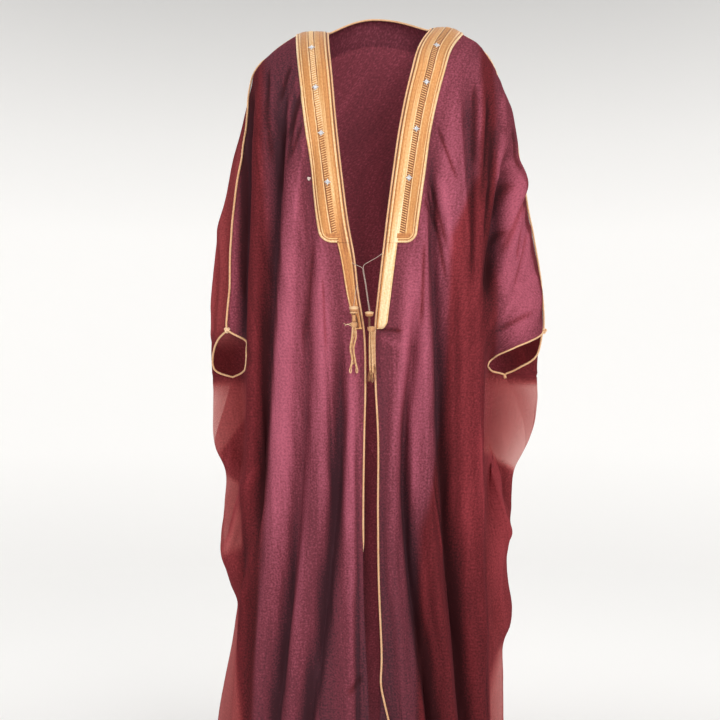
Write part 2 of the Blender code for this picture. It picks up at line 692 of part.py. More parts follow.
def make_neck_band(material, collection):
    """The band round the back of the neck, on the back's own points."""
    grid = back_grid()
    lifted = grid + grid_normals(grid, True) * (WALL + LIFT)
    middle = len(back_columns()) - 1
    reach = NECK_BAND_COLUMNS
    rows = int(np.argmin(abs(row_drops() - NECK_BAND))) + 1
    band = lifted[:rows, middle - reach : middle + reach + 1]
    band[0] = drawn_back(band[0], band[1], SEAM_GAP)
    sheet_object("band_neck", band, material, collection, BAND_THICK, True)


def beside(edge, inner, normals, room=SEAM_GAP):
    """Centre line of a piping that lies against an edge, level with the wall."""
    along = np.gradient(edge, axis=0)
    way = np.cross(along, normals)
    way = way * np.sign(np.sum(way * (edge - inner), axis=-1, keepdims=True))
    way = way / np.maximum(np.linalg.norm(way, axis=-1, keepdims=True), 1e-9)
    return edge + way * (PIPING + room) + normals * WALL / 2


def make_pipings(side, word, material, collection):
    """Gold cord down the front edge, over the shoulder and arm seam and round the hand opening."""
    front = front_grid(side)
    front_out = grid_normals(front, side == RIGHT)
    back = back_grid()
    back_out = grid_normals(back, True)
    if side == LEFT:
        back, back_out = back[:, ::-1], back_out[:, ::-1]
    drops = row_drops()
    first, last = drops.searchsorted(OPENING_ROWS[0]), drops.searchsorted(OPENING_ROWS[-1])
    edge = beside(front[:, 0], front[:, 1], front_out[:, 0])[1:]
    tube_object(f"piping_front_{word}", edge, PIPING, material, collection)
    up = front_out[:, -1] + back_out[:, 0]
    up = up / np.linalg.norm(up, axis=-1, keepdims=True)
    height = WALL + 2 * LIFT + PIPING
    over_out = front_out[0, WIDE_BAND_COLUMNS:] * np.array([1, 0, 1])
    over_out[-1] = over_out[-2] + 1.5 * up[2]
    over_out = over_out / np.linalg.norm(over_out, axis=-1, keepdims=True)
    over_out[-1] *= 1.35
    over = front[0, WIDE_BAND_COLUMNS:] + over_out * (height + 0.0016)
    down = front[2 : first + 1, -1] + up[2 : first + 1] * height
    seam = np.concatenate([over, down])
    tube_object(f"piping_seam_{word}", seam, PIPING, material, collection)
    rim = slice(first + 2, last - 1)
    fore = beside(front[:, -1], front[:, -2], front_out[:, -1], 3 * SEAM_GAP)[rim]
    rear = beside(back[:, 0], back[:, 1], back_out[:, 0], 3 * SEAM_GAP)[rim]
    tube_object(f"piping_hand_front_{word}", fore, PIPING, material, collection)
    tube_object(f"piping_hand_back_{word}", rear, PIPING, material, collection)


def make_neck_piping(material, collection):
    """Gold cord on the back's neck edge, ending just short of the shoulder seams."""
    grid = back_grid()
    normals = grid_normals(grid, True)
    middle = len(back_columns()) - 1
    span = slice(middle - NECK_COLUMNS, middle + NECK_COLUMNS + 1)
    line = beside(grid[0, span], grid[2, span], normals[0, span], 2 * SEAM_GAP)
    line[0] = 0.15 * line[0] + 0.85 * line[1]
    line[-1] = 0.15 * line[-1] + 0.85 * line[-2]
    tube_object("piping_neck", line, PIPING, material, collection)


# ---- ties, beads and tassels -----------------------------------------------------------------
TIE = 0.0011  # radius of the tie strings
Stop = namedtuple("Stop", "x y drop")
# Each string, from its band to its bead, kept in front of the bands it hangs over.
TIE_STOPS = {
    "tie_right": [
        Stop(-0.0370, -0.1715, 0.5140),
        Stop(-0.0385, -0.1790, 0.5190),
        Stop(-0.0410, -0.1815, 0.5300),
        Stop(-0.0428, -0.1825, 0.5420),
        Stop(-0.0438, -0.1830, 0.5515),
    ],
    "tie_left": [
        Stop(0.0035, -0.1735, 0.4610),
        Stop(-0.0060, -0.1790, 0.4660),
        Stop(-0.0170, -0.1815, 0.4720),
        Stop(-0.0262, -0.1825, 0.4800),
        Stop(-0.0252, -0.1828, 0.4910),
        Stop(-0.0215, -0.1830, 0.5120),
        Stop(-0.0176, -0.1830, 0.5400),
        Stop(-0.0137, -0.1830, 0.5655),
    ],
    "tie_cross": [
        Stop(-0.0420, -0.1715, 0.4740),
        Stop(-0.0405, -0.1780, 0.4765),
        Stop(-0.0340, -0.1805, 0.4800),
        Stop(-0.0292, -0.1825, 0.4850),
        Stop(-0.0281, -0.1828, 0.4940),
        Stop(-0.0244, -0.1830, 0.5130),
        Stop(-0.0203, -0.1830, 0.5400),
        Stop(-0.0163, -0.1830, 0.5655),
    ],
}
# Half widths of the wrapped bead, at each drop under its top.
Turn = namedtuple("Turn", "half drop")
BEAD = [
    Turn(0.0030, 0.0000),
    Turn(0.0062, 0.0008),
    Turn(0.0078, 0.0030),
    Turn(0.0080, 0.0055),
    Turn(0.0070, 0.0082),
    Turn(0.0042, 0.0100),
    Turn(0.0034, 0.0106),
    Turn(0.0034, 0.0200),
]
# The knot that the tassel's strands hang from.
KNOT = [
    Turn(0.0030, 0.0000),
    Turn(0.0052, 0.0012),
    Turn(0.0064, 0.0040),
    Turn(0.0060, 0.0074),
    Turn(0.0042, 0.0100),
]
BEAD_TOP = {"right": Stop(-0.0438, -0.1830, 0.5518), "left": Stop(-0.0150, -0.1830, 0.5660)}
# Strands of each tassel, as distances from its knot's middle: half way down, and at the end.
Strand = namedtuple("Strand", "x y half_x half_y end_x end_y length")
STRANDS = {
    "right": [
        Strand(-0.0020, -0.0010, -0.0038, -0.0030, -0.0080, -0.0010, 0.094),
        Strand(0.0022, -0.0004, 0.0032, -0.0010, 0.0064, 0.0000, 0.092),
        Strand(0.0000, 0.0022, -0.0004, 0.0050, 0.0002, 0.0050, 0.070),
    ],
    "left": [
        Strand(-0.0024, 0.0000, -0.0034, -0.0004, -0.0026, -0.0010, 0.100),
        Strand(0.0018, -0.0016, 0.0022, -0.0034, 0.0040, -0.0030, 0.092),
        Strand(0.0014, 0.0022, 0.0016, 0.0034, 0.0044, 0.0040, 0.082),
    ],
}
STRAND = 0.0016


def turned_object(name, turns, top, material, collection):
    """A turned solid about a vertical axis through the place named as its top."""
    rim = [(0.0, 0.0, 0.0)]
    rim += [(turn.half, 0.0, -turn.drop) for turn in turns]
    rim.append((0.0, 0.0, -turns[-1].drop))
    mesh = bpy.data.meshes.new(name)
    mesh.from_pydata(rim, [(i, i + 1) for i in range(len(rim) - 1)], [])
    obj = add_object(name, mesh, material, collection)
    obj.location = (top.x, top.y, -top.drop)
    screw = obj.modifiers.new("Turned", "SCREW")
    screw.steps = 12
    screw.render_steps = 12
    screw.use_merge_vertices = True
    screw.merge_threshold = 0.00005
    screw.use_smooth_shade = True
    return obj


def strand_solid(name, strand, top, material, cutters):
    """One hanging strand as a mesh with four sides, thicker at its frayed end."""
    root = Vector((strand.x, strand.y, -0.005))
    half = Vector((strand.half_x, strand.half_y, -0.5 * strand.length))
    end = Vector((strand.end_x, strand.end_y, -strand.length))
    steps = 7
    curve = bpy.data.curves.new(name, "CURVE")
    curve.dimensions = "3D"
    curve.bevel_depth = STRAND
    curve.bevel_resolution = 0
    curve.use_fill_caps = True
    spline = curve.splines.new("POLY")
    spline.points.add(steps)
    for i, point in enumerate(spline.points):
        t = i / steps
        place = (1 - t) ** 2 * root + 2 * t * (1 - t) * (2 * half - 0.5 * (root + end)) + t * t * end
        point.co = (*place, 1)
        point.radius = 1.0 + 0.5 * max(0.0, t - 0.7) / 0.3
    rope = bpy.data.objects.new(name + "_line", curve)
    cutters.objects.link(rope)
    bpy.context.view_layer.update()
    mesh = bpy.data.meshes.new_from_object(rope.evaluated_get(bpy.context.evaluated_depsgraph_get()))
    bpy.data.objects.remove(rope)
    solid = add_object(name, mesh, material, cutters)
    solid.location = (top.x, top.y, -top.drop)
    solid.hide_render = True
    solid.display_type = "WIRE"
    return solid


def make_tassel(word, cord, thread, collection, cutters):
    """The wrapped bead, and under it a knot with its strands fused into one node."""
    top = BEAD_TOP[word]
    turned_object(f"bead_{word}", BEAD, top, cord, collection)
    knot_top = Stop(top.x, top.y, top.drop + BEAD[-1].drop + SEAM_GAP)
    knot = turned_object(f"tassel_{word}", KNOT, knot_top, thread, collection)
    for i, strand in enumerate(STRANDS[word]):
        solid = strand_solid(f"strand_{word}_{i + 1}", strand, knot_top, thread, cutters)
        fuse = knot.modifiers.new(f"Strand {i + 1}", "BOOLEAN")
        fuse.operation = "UNION"
        fuse.solver = "EXACT"
        fuse.object = solid


def make_ties(thread, collection):
    for name, stops in TIE_STOPS.items():
        points = [(stop.x, stop.y, -stop.drop) for stop in stops]
        tube_object(name, points, TIE, thread, collection)


def main():
    clear_scene()
    collection = bpy.data.collections.new("bisht_cloak")
    cutters = bpy.data.collections.new("tassel_strands")
    bpy.context.scene.collection.children.link(collection)
    bpy.context.scene.collection.children.link(cutters)
    cloth = make_material("cloth", (0.22, 0.035, 0.055), 0.55)
    zari = make_material("zari", (0.66, 0.33, 0.12), 0.45, 0.4)
    cord = make_material("gold_cord", (0.80, 0.44, 0.17), 0.45, 0.3)
    thread = make_material("tie_thread", (0.55, 0.36, 0.20), 0.6, 0.1)
    back, fronts = sewn_grids()
    sheet_object("back", back, cloth, collection, WALL, True)
    for side, word in ((RIGHT, "right"), (LEFT, "left")):
        sheet_object(f"front_{word}", fronts[side], cloth, collection, WALL, side == RIGHT)
        make_front_bands(side, word, zari, collection)
        make_pipings(side, word, cord, collection)
        make_tassel(word, cord, thread, collection, cutters)
    make_neck_band(zari, collection)
    make_neck_piping(cord, collection)
    make_ties(thread, collection)


main()
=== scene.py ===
"""Bisht cloak, worn open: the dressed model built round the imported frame.

Metres, +Z up. The wearer's left is +X and the front faces -Y. The origin is midway between the two
shoulder points beside the neck. The panels follow the same tables as the solids, on finer grids.
"""

import logging
import math
from dataclasses import dataclass, field
from enum import Enum
from typing import Callable, NamedTuple, Sequence

import bpy
import numpy as np
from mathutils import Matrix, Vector


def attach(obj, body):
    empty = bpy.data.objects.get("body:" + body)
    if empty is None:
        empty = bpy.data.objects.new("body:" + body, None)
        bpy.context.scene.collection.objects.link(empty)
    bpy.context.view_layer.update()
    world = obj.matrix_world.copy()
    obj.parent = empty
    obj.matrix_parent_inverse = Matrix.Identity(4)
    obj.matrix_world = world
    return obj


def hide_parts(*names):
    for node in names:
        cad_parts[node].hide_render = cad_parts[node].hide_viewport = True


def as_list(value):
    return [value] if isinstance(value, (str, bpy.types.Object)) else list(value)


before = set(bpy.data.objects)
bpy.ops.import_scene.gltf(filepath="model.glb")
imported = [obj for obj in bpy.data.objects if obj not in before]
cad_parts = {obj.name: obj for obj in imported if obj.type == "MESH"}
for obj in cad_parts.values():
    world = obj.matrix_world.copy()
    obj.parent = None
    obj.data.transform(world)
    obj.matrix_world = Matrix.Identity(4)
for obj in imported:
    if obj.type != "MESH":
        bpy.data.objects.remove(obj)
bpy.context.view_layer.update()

log = logging.getLogger("bisht_cloak")
Array = np.ndarray
Layers = dict[str, Array]
Faces = Sequence[Sequence[int]]
Work = tuple[Array, Array]  # height and tone of thread
Colour = tuple[float, float, float]
Point = tuple[float, float, float]
Piece = bpy.types.Object
Socket = bpy.types.NodeSocket

WALL = 0.0015  # thickness of the solids' cloth walls; the cloth lies in their middle
HEM_DROP = 1.455  # from the shoulder points down to the hem
BAND_WIDE = 0.060  # embroidered band, shoulder to chest
BAND_NARROW = 0.028  # embroidered band, chest to belly
WIDE_END_ROW, NARROW_END_ROW = 0.425, 0.600
BAND_LIFT, UNDER_BAND = 0.0006, -0.0013  # heights over the cloth of a band's ground and its rim's foot
PIPING = 0.0021  # radius of the gold piping
OPENING_ROWS = (0.600, 0.694)  # rows between which the side line is open for the hand


class Side(Enum):
    """The wearer's two sides, as the sign of x."""

    RIGHT = -1
    LEFT = 1

    @property
    def word(self) -> str:
        """The side's name in the pieces' names."""
        return self.name.lower()

    @property
    def flip(self) -> bool:
        """Whether a front's grid has to be turned over for its faces to look outward."""
        return self is Side.RIGHT


class Edge(NamedTuple):
    """Distance out from the centre at one drop, on each side."""

    drop: float
    right: float
    left: float


class Depth(NamedTuple):
    """Where the front, side and back of a section lie, front to back."""

    drop: float
    front: float
    side: float
    back: float


class Slope(NamedTuple):
    """Height of the shoulder line at one distance out."""

    out: float
    right: float
    left: float


class Meeting(NamedTuple):
    """Girths at which the front and the back end along the side."""

    drop: float
    front: float
    back: float


class Fold(NamedTuple):
    """A hanging fold: places at four drops, span, widths inward and outward, and heights."""

    name: str
    chest: float
    waist: float
    knee: float
    hem: float
    starts: float
    ends: float
    inner: float
    outer: float
    high: float
    low: float


class Crease(NamedTuple):
    """A crease that slants from a high place to a low one."""

    name: str
    out_high: float
    drop_high: float
    out_low: float
    drop_low: float
    half_width: float
    height: float


class Swag(NamedTuple):
    """A fold that swings round the side, as girths and drops."""

    name: str
    girth_high: float
    girth_low: float
    drop_high: float
    drop_low: float
    half_drop: float
    height: float


class Stop(NamedTuple):
    """A place on a tie string, with its drop under the shoulder points."""

    x: float
    y: float
    drop: float


class Turn(NamedTuple):
    """Half width of a turned piece at a drop under its top."""

    half: float
    drop: float


class Strand(NamedTuple):
    """A tassel strand: its depth at both ends, its length and its sway at quarters of it."""

    y: float
    end_y: float
    length: float
    sway: tuple[float, ...]


class Stripe(NamedTuple):
    """One stripe of a band: width, height of its crown, tone of its thread and how round it is."""

    name: str
    width: float
    height: float
    tone: float
    crown: float


# The front edges and the side outline, as distance out from the centre, at each drop.
FRONT_EDGE: list[Edge] = [
    Edge(0.0, 0.1, 0.113),
    Edge(0.04, 0.097, 0.089),
    Edge(0.1, 0.091, 0.071),
    Edge(0.2, 0.082, 0.049),
    Edge(0.3, 0.071, 0.034),
    Edge(0.4, 0.058, 0.021),
    Edge(0.46, 0.047, 0.014),
    Edge(0.53, 0.039, 0.006),
    Edge(0.6, 0.028, -0.001),
    Edge(0.7, 0.025, 0.0),
    Edge(0.8, 0.027, 0.005),
    Edge(0.95, 0.029, 0.005),
    Edge(1.1, 0.028, 0.007),
    Edge(1.2, 0.024, 0.012),
    Edge(1.3, 0.019, 0.023),
    Edge(1.46, 0.014, 0.032),
]
OUTLINE: list[Edge] = [
    Edge(0.036, 0.204, 0.214),
    Edge(0.053, 0.222, 0.227),
    Edge(0.075, 0.24, 0.239),
    Edge(0.11, 0.253, 0.252),
    Edge(0.16, 0.264, 0.273),
    Edge(0.21, 0.273, 0.282),
    Edge(0.26, 0.285, 0.286),
    Edge(0.35, 0.303, 0.3),
    Edge(0.43, 0.32, 0.315),
    Edge(0.51, 0.326, 0.327),
    Edge(0.6, 0.33, 0.332),
    Edge(0.66, 0.33, 0.323),
    Edge(0.74, 0.328, 0.325),
    Edge(0.8, 0.328, 0.316),
    Edge(0.84, 0.322, 0.298),
    Edge(0.88, 0.306, 0.281),
    Edge(0.95, 0.307, 0.275),
    Edge(1.01, 0.309, 0.265),
    Edge(1.06, 0.307, 0.264),
    Edge(1.11, 0.295, 0.268),
    Edge(1.145, 0.281, 0.271),
    Edge(1.185, 0.285, 0.27),
    Edge(1.225, 0.291, 0.259),
    Edge(1.3, 0.306, 0.258),
    Edge(1.38, 0.32, 0.259),
    Edge(1.46, 0.328, 0.259),
]
# The outer edge of the column of cloth that hangs from each shoulder in front of the arm.
COLUMN_EDGE: list[Edge] = [
    Edge(0.1, 0.243, 0.212),
    Edge(0.2, 0.247, 0.221),
    Edge(0.3, 0.25, 0.235),
    Edge(0.4, 0.254, 0.23),
    Edge(0.5, 0.252, 0.216),
    Edge(0.6, 0.248, 0.205),
    Edge(0.7, 0.244, 0.199),
    Edge(0.8, 0.243, 0.198),
    Edge(0.95, 0.25, 0.199),
    Edge(1.1, 0.254, 0.203),
    Edge(1.46, 0.24, 0.212),
]
# Where the front, side and back of the base section lie, front to back, at each drop.
DEPTHS: list[Depth] = [
    Depth(0.0, -0.105, 0.0, 0.112),
    Depth(0.05, -0.115, -0.002, 0.124),
    Depth(0.12, -0.128, -0.005, 0.138),
    Depth(0.25, -0.148, -0.01, 0.15),
    Depth(0.45, -0.16, -0.018, 0.155),
    Depth(0.62, -0.168, -0.016, 0.158),
    Depth(0.8, -0.173, 0.012, 0.165),
    Depth(1.05, -0.18, 0.036, 0.18),
    Depth(1.3, -0.19, 0.05, 0.2),
    Depth(1.46, -0.198, 0.056, 0.215),
]
# Height of the shoulder line over the origin's level, at each distance out.
SHOULDER_LINE: list[Slope] = [
    Slope(0.097, 0.0, 0.006),
    Slope(0.155, -0.004, 0.006),
    Slope(0.186, -0.022, -0.01),
    Slope(0.206, -0.036, -0.02),
    Slope(0.225, -0.053, -0.036),
]
# The line where front and back meet, as a girth: seam down the arm, hand opening, then side line.
SIDE_LINE: dict[Side, list[Meeting]] = {
    Side.RIGHT: [
        Meeting(0.053, 1.0, 1.0),
        Meeting(0.085, 1.0, 1.0),
        Meeting(0.16, 0.84, 0.84),
        Meeting(0.26, 0.744, 0.744),
        Meeting(0.42, 0.66, 0.66),
        Meeting(0.52, 0.65, 0.65),
        Meeting(0.598, 0.676, 0.676),
        Meeting(0.606, 0.622, 0.716),
        Meeting(0.616, 0.578, 0.77),
        Meeting(0.63, 0.54, 0.835),
        Meeting(0.648, 0.52, 0.895),
        Meeting(0.666, 0.528, 0.93),
        Meeting(0.68, 0.556, 0.88),
        Meeting(0.688, 0.596, 0.77),
        Meeting(0.694, 0.66, 0.66),
        Meeting(0.76, 0.76, 0.76),
        Meeting(0.88, 0.98, 0.98),
        Meeting(1.46, 1.0, 1.0),
    ],
    Side.LEFT: [
        Meeting(0.036, 1.0, 1.0),
        Meeting(0.1, 1.05, 1.05),
        Meeting(0.2, 1.05, 1.05),
        Meeting(0.28, 1.0, 1.0),
        Meeting(0.4, 0.975, 0.975),
        Meeting(0.6, 0.98, 0.98),
        Meeting(0.607, 0.88, 0.985),
        Meeting(0.616, 0.77, 0.985),
        Meeting(0.629, 0.64, 0.975),
        Meeting(0.647, 0.52, 0.93),
        Meeting(0.66, 0.48, 0.83),
        Meeting(0.672, 0.47, 0.71),
        Meeting(0.682, 0.5, 0.64),
        Meeting(0.688, 0.58, 0.58),
        Meeting(0.76, 0.7, 0.7),
        Meeting(0.88, 0.97, 0.97),
        Meeting(1.46, 1.0, 1.0),
    ],
}

# Folds that hang down the fronts and the back. Places are distances out at four drops, widths are
# towards and away from the centre, and heights are at the chest and at the hem.
FOLD_DROPS = (0.15, 0.50, 0.90, 1.35)
FRONT_FOLDS: dict[Side, list[Fold]] = {
    Side.RIGHT: [
        Fold("edge_ridge", 0.062, 0.05, 0.047, 0.054, 0.58, 1.6, 0.013, 0.015, 0.006, 0.012),
        Fold("edge_valley", 0.078, 0.073, 0.076, 0.131, 0.55, 1.6, 0.014, 0.014, -0.014, -0.03),
        Fold("middle_ridge", 0.107, 0.103, 0.116, 0.166, 0.25, 1.6, 0.018, 0.02, 0.007, 0.018),
        Fold("main_valley", 0.124, 0.132, 0.147, 0.195, 0.2, 1.6, 0.014, 0.011, -0.008, -0.02),
        Fold("main_ridge", 0.142, 0.164, 0.182, 0.218, 0.12, 1.6, 0.018, 0.026, 0.014, 0.024),
        Fold("armpit_valley", 0.184, 0.203, 0.226, 0.24, 0.08, 1.0, 0.014, 0.014, -0.026, -0.018),
        Fold("shoulder_ridge", 0.207, 0.212, 0.23, 0.24, 0.05, 0.48, 0.01, 0.012, 0.012, 0.008),
        Fold("column", 0.229, 0.23, 0.238, 0.262, 0.08, 1.6, 0.014, 0.014, 0.012, 0.018),
        Fold("sleeve_valley", 0.249, 0.262, 0.264, 0.264, 0.07, 0.7, 0.01, 0.01, -0.024, -0.024),
    ],
    Side.LEFT: [
        Fold("edge_ridge", 0.066, 0.062, 0.027, 0.052, 0.4, 1.6, 0.013, 0.016, 0.008, 0.018),
        Fold("edge_valley", 0.08, 0.078, 0.051, 0.103, 0.5, 1.6, 0.009, 0.013, -0.012, -0.034),
        Fold("inner_ridge", 0.088, 0.091, 0.095, 0.136, 0.24, 1.6, 0.016, 0.012, 0.01, 0.026),
        Fold("main_valley", 0.102, 0.11, 0.129, 0.168, 0.2, 1.6, 0.009, 0.013, -0.016, -0.032),
        Fold("main_ridge", 0.156, 0.166, 0.169, 0.192, 0.1, 1.6, 0.026, 0.02, 0.01, 0.022),
        Fold("neck_valley", 0.172, 0.172, 0.16, 0.16, 0.05, 0.46, 0.01, 0.01, -0.01, -0.006),
        Fold("shoulder_ridge", 0.201, 0.192, 0.19, 0.2, 0.04, 1.3, 0.012, 0.013, 0.014, 0.012),
    ],
}
BACK_FOLDS: dict[Side, list[Fold]] = {
    Side.RIGHT: [
        Fold("centre_valley", 0.034, 0.028, 0.024, 0.03, 0.16, 1.6, 0.018, 0.018, -0.003, -0.01),
        Fold("blade_ridge", 0.08, 0.07, 0.064, 0.076, 0.1, 1.6, 0.018, 0.022, 0.004, 0.022),
        Fold("blade_valley", 0.118, 0.108, 0.104, 0.124, 0.14, 1.6, 0.014, 0.012, -0.01, -0.03),
        Fold("shoulder_ridge", 0.156, 0.15, 0.15, 0.178, 0.08, 1.6, 0.02, 0.018, 0.014, 0.032),
        Fold("arm_valley", 0.2, 0.204, 0.2, 0.226, 0.1, 1.6, 0.013, 0.016, -0.02, -0.03),
        Fold("side_ridge", 0.236, 0.252, 0.244, 0.272, 0.12, 1.6, 0.018, 0.018, 0.012, 0.024),
    ],
    Side.LEFT: [
        Fold("centre_valley", 0.022, 0.014, 0.01, 0.018, 0.16, 1.6, 0.014, 0.016, -0.006, -0.024),
        Fold("blade_ridge", 0.07, 0.058, 0.05, 0.056, 0.1, 1.6, 0.02, 0.018, 0.008, 0.026),
        Fold("blade_valley", 0.112, 0.098, 0.092, 0.098, 0.12, 1.6, 0.012, 0.014, -0.014, -0.03),
        Fold("shoulder_ridge", 0.154, 0.14, 0.136, 0.142, 0.08, 1.6, 0.018, 0.022, 0.012, 0.028),
        Fold("arm_valley", 0.204, 0.19, 0.18, 0.182, 0.1, 1.6, 0.014, 0.014, -0.024, -0.028),
        Fold("side_ridge", 0.244, 0.242, 0.218, 0.216, 0.12, 1.6, 0.018, 0.018, 0.012, 0.018),
    ],
}
# Creases that slant across a front, from a high place to a low one.
CREASES: dict[Side, list[Crease]] = {
    Side.RIGHT: [
        Crease("knee_pull", 0.244, 0.86, 0.292, 1.08, 0.012, 0.01),
        Crease("knee_hollow", 0.222, 0.9, 0.27, 1.14, 0.012, -0.012),
    ],
    Side.LEFT: [
        Crease("arm_hollow", 0.268, 0.23, 0.208, 0.56, 0.013, -0.034),
        Crease("arm_roll", 0.29, 0.24, 0.236, 0.56, 0.016, 0.012),
        Crease("hand_pull", 0.214, 0.8, 0.256, 1.03, 0.01, 0.014),
        Crease("hand_hollow", 0.236, 0.8, 0.268, 0.96, 0.009, -0.012),
    ],
}
# Folds that swing round the sides, from the arm down and forward, as girths.
SWAGS: dict[Side, list[Swag]] = {
    Side.RIGHT: [
        Swag("sleeve_pull", 1.3, 0.72, 0.26, 0.44, 0.028, 0.012),
        Swag("sleeve_bag", 1.5, 0.7, 0.36, 0.6, 0.036, 0.012),
        Swag("wrist_swag", 1.5, 0.62, 0.7, 0.88, 0.044, 0.018),
        Swag("low_swag", 1.5, 0.6, 0.9, 1.08, 0.046, 0.018),
    ],
    Side.LEFT: [
        Swag("sleeve_pull", 1.3, 0.66, 0.22, 0.34, 0.026, 0.012),
        Swag("sleeve_bag", 1.5, 0.56, 0.4, 0.58, 0.04, 0.012),
        Swag("wrist_swag", 1.5, 0.6, 0.7, 0.9, 0.04, 0.018),
        Swag("low_swag", 1.5, 0.6, 0.88, 1.06, 0.04, 0.016),
        Swag("hem_swag", 1.5, 0.6, 1.06, 1.2, 0.045, 0.014),
    ],
}


# Finer folds and creases that only the cloth pieces carry, over the ones above. Their heights also
# paint the cloth: painted shade along the hollows, painted highlight along the ridges.
FINE_FOLDS: dict[Side, list[Fold]] = {
    Side.RIGHT: [
        Fold("front_crease", 0.1, 0.099, 0.087, 0.087, 0.52, 0.98, 0.003, 0.004, -0.003, -0.004),
        Fold("bright_roll", 0.118, 0.108, 0.098, 0.11, 0.46, 1.1, 0.008, 0.009, 0.004, 0.004),
        Fold("neck_crease_a", 0.16, 0.172, 0.18, 0.19, 0.05, 0.34, 0.004, 0.005, -0.004, -0.004),
        Fold("neck_crease_b", 0.172, 0.186, 0.2, 0.21, 0.06, 0.4, 0.004, 0.004, 0.0034, 0.003),
        Fold("panel_crease", 0.136, 0.15, 0.16, 0.176, 0.3, 1.2, 0.005, 0.006, -0.0022, -0.003),
        Fold("hem_crease", 0.12, 0.12, 0.12, 0.118, 1.1, 1.6, 0.006, 0.007, 0.005, 0.008),
        Fold("column_crease", 0.218, 0.219, 0.224, 0.236, 0.3, 1.1, 0.004, 0.005, -0.0026, -0.004),
        Fold("edge_pleat", 0.044, 0.044, 0.038, 0.036, 0.7, 1.6, 0.004, 0.005, -0.003, -0.005),
        Fold("column_line", 0.221, 0.221, 0.223, 0.226, 0.5, 1.0, 0.0022, 0.0022, -0.0036, -0.0036),
    ],
    Side.LEFT: [
        Fold("red_strip", 0.16, 0.176, 0.18, 0.186, 0.16, 0.5, 0.005, 0.005, 0.006, 0.004),
        Fold("band_crease_a", 0.1, 0.118, 0.13, 0.14, 0.24, 0.48, 0.003, 0.004, -0.004, -0.004),
        Fold("band_crease_b", 0.084, 0.104, 0.112, 0.12, 0.33, 0.56, 0.003, 0.004, -0.0034, -0.0034),
        Fold("arm_crease", 0.178, 0.188, 0.19, 0.2, 0.08, 0.3, 0.003, 0.004, -0.0036, -0.003),
        Fold("column_crease", 0.14, 0.15, 0.152, 0.168, 0.42, 1.6, 0.005, 0.006, -0.0024, -0.0036),
        Fold("column_line", 0.184, 0.184, 0.196, 0.206, 0.7, 1.1, 0.003, 0.003, 0.0034, 0.0034),
        Fold("skirt_roll", 0.06, 0.062, 0.068, 0.076, 0.6, 1.0, 0.007, 0.008, 0.0036, 0.0036),
        Fold("hem_crease", 0.08, 0.08, 0.086, 0.088, 1.0, 1.6, 0.006, 0.006, 0.004, 0.007),
        Fold("column_edge", 0.2, 0.2, 0.202, 0.204, 0.66, 1.6, 0.0022, 0.0022, -0.0036, -0.004),
    ],
}
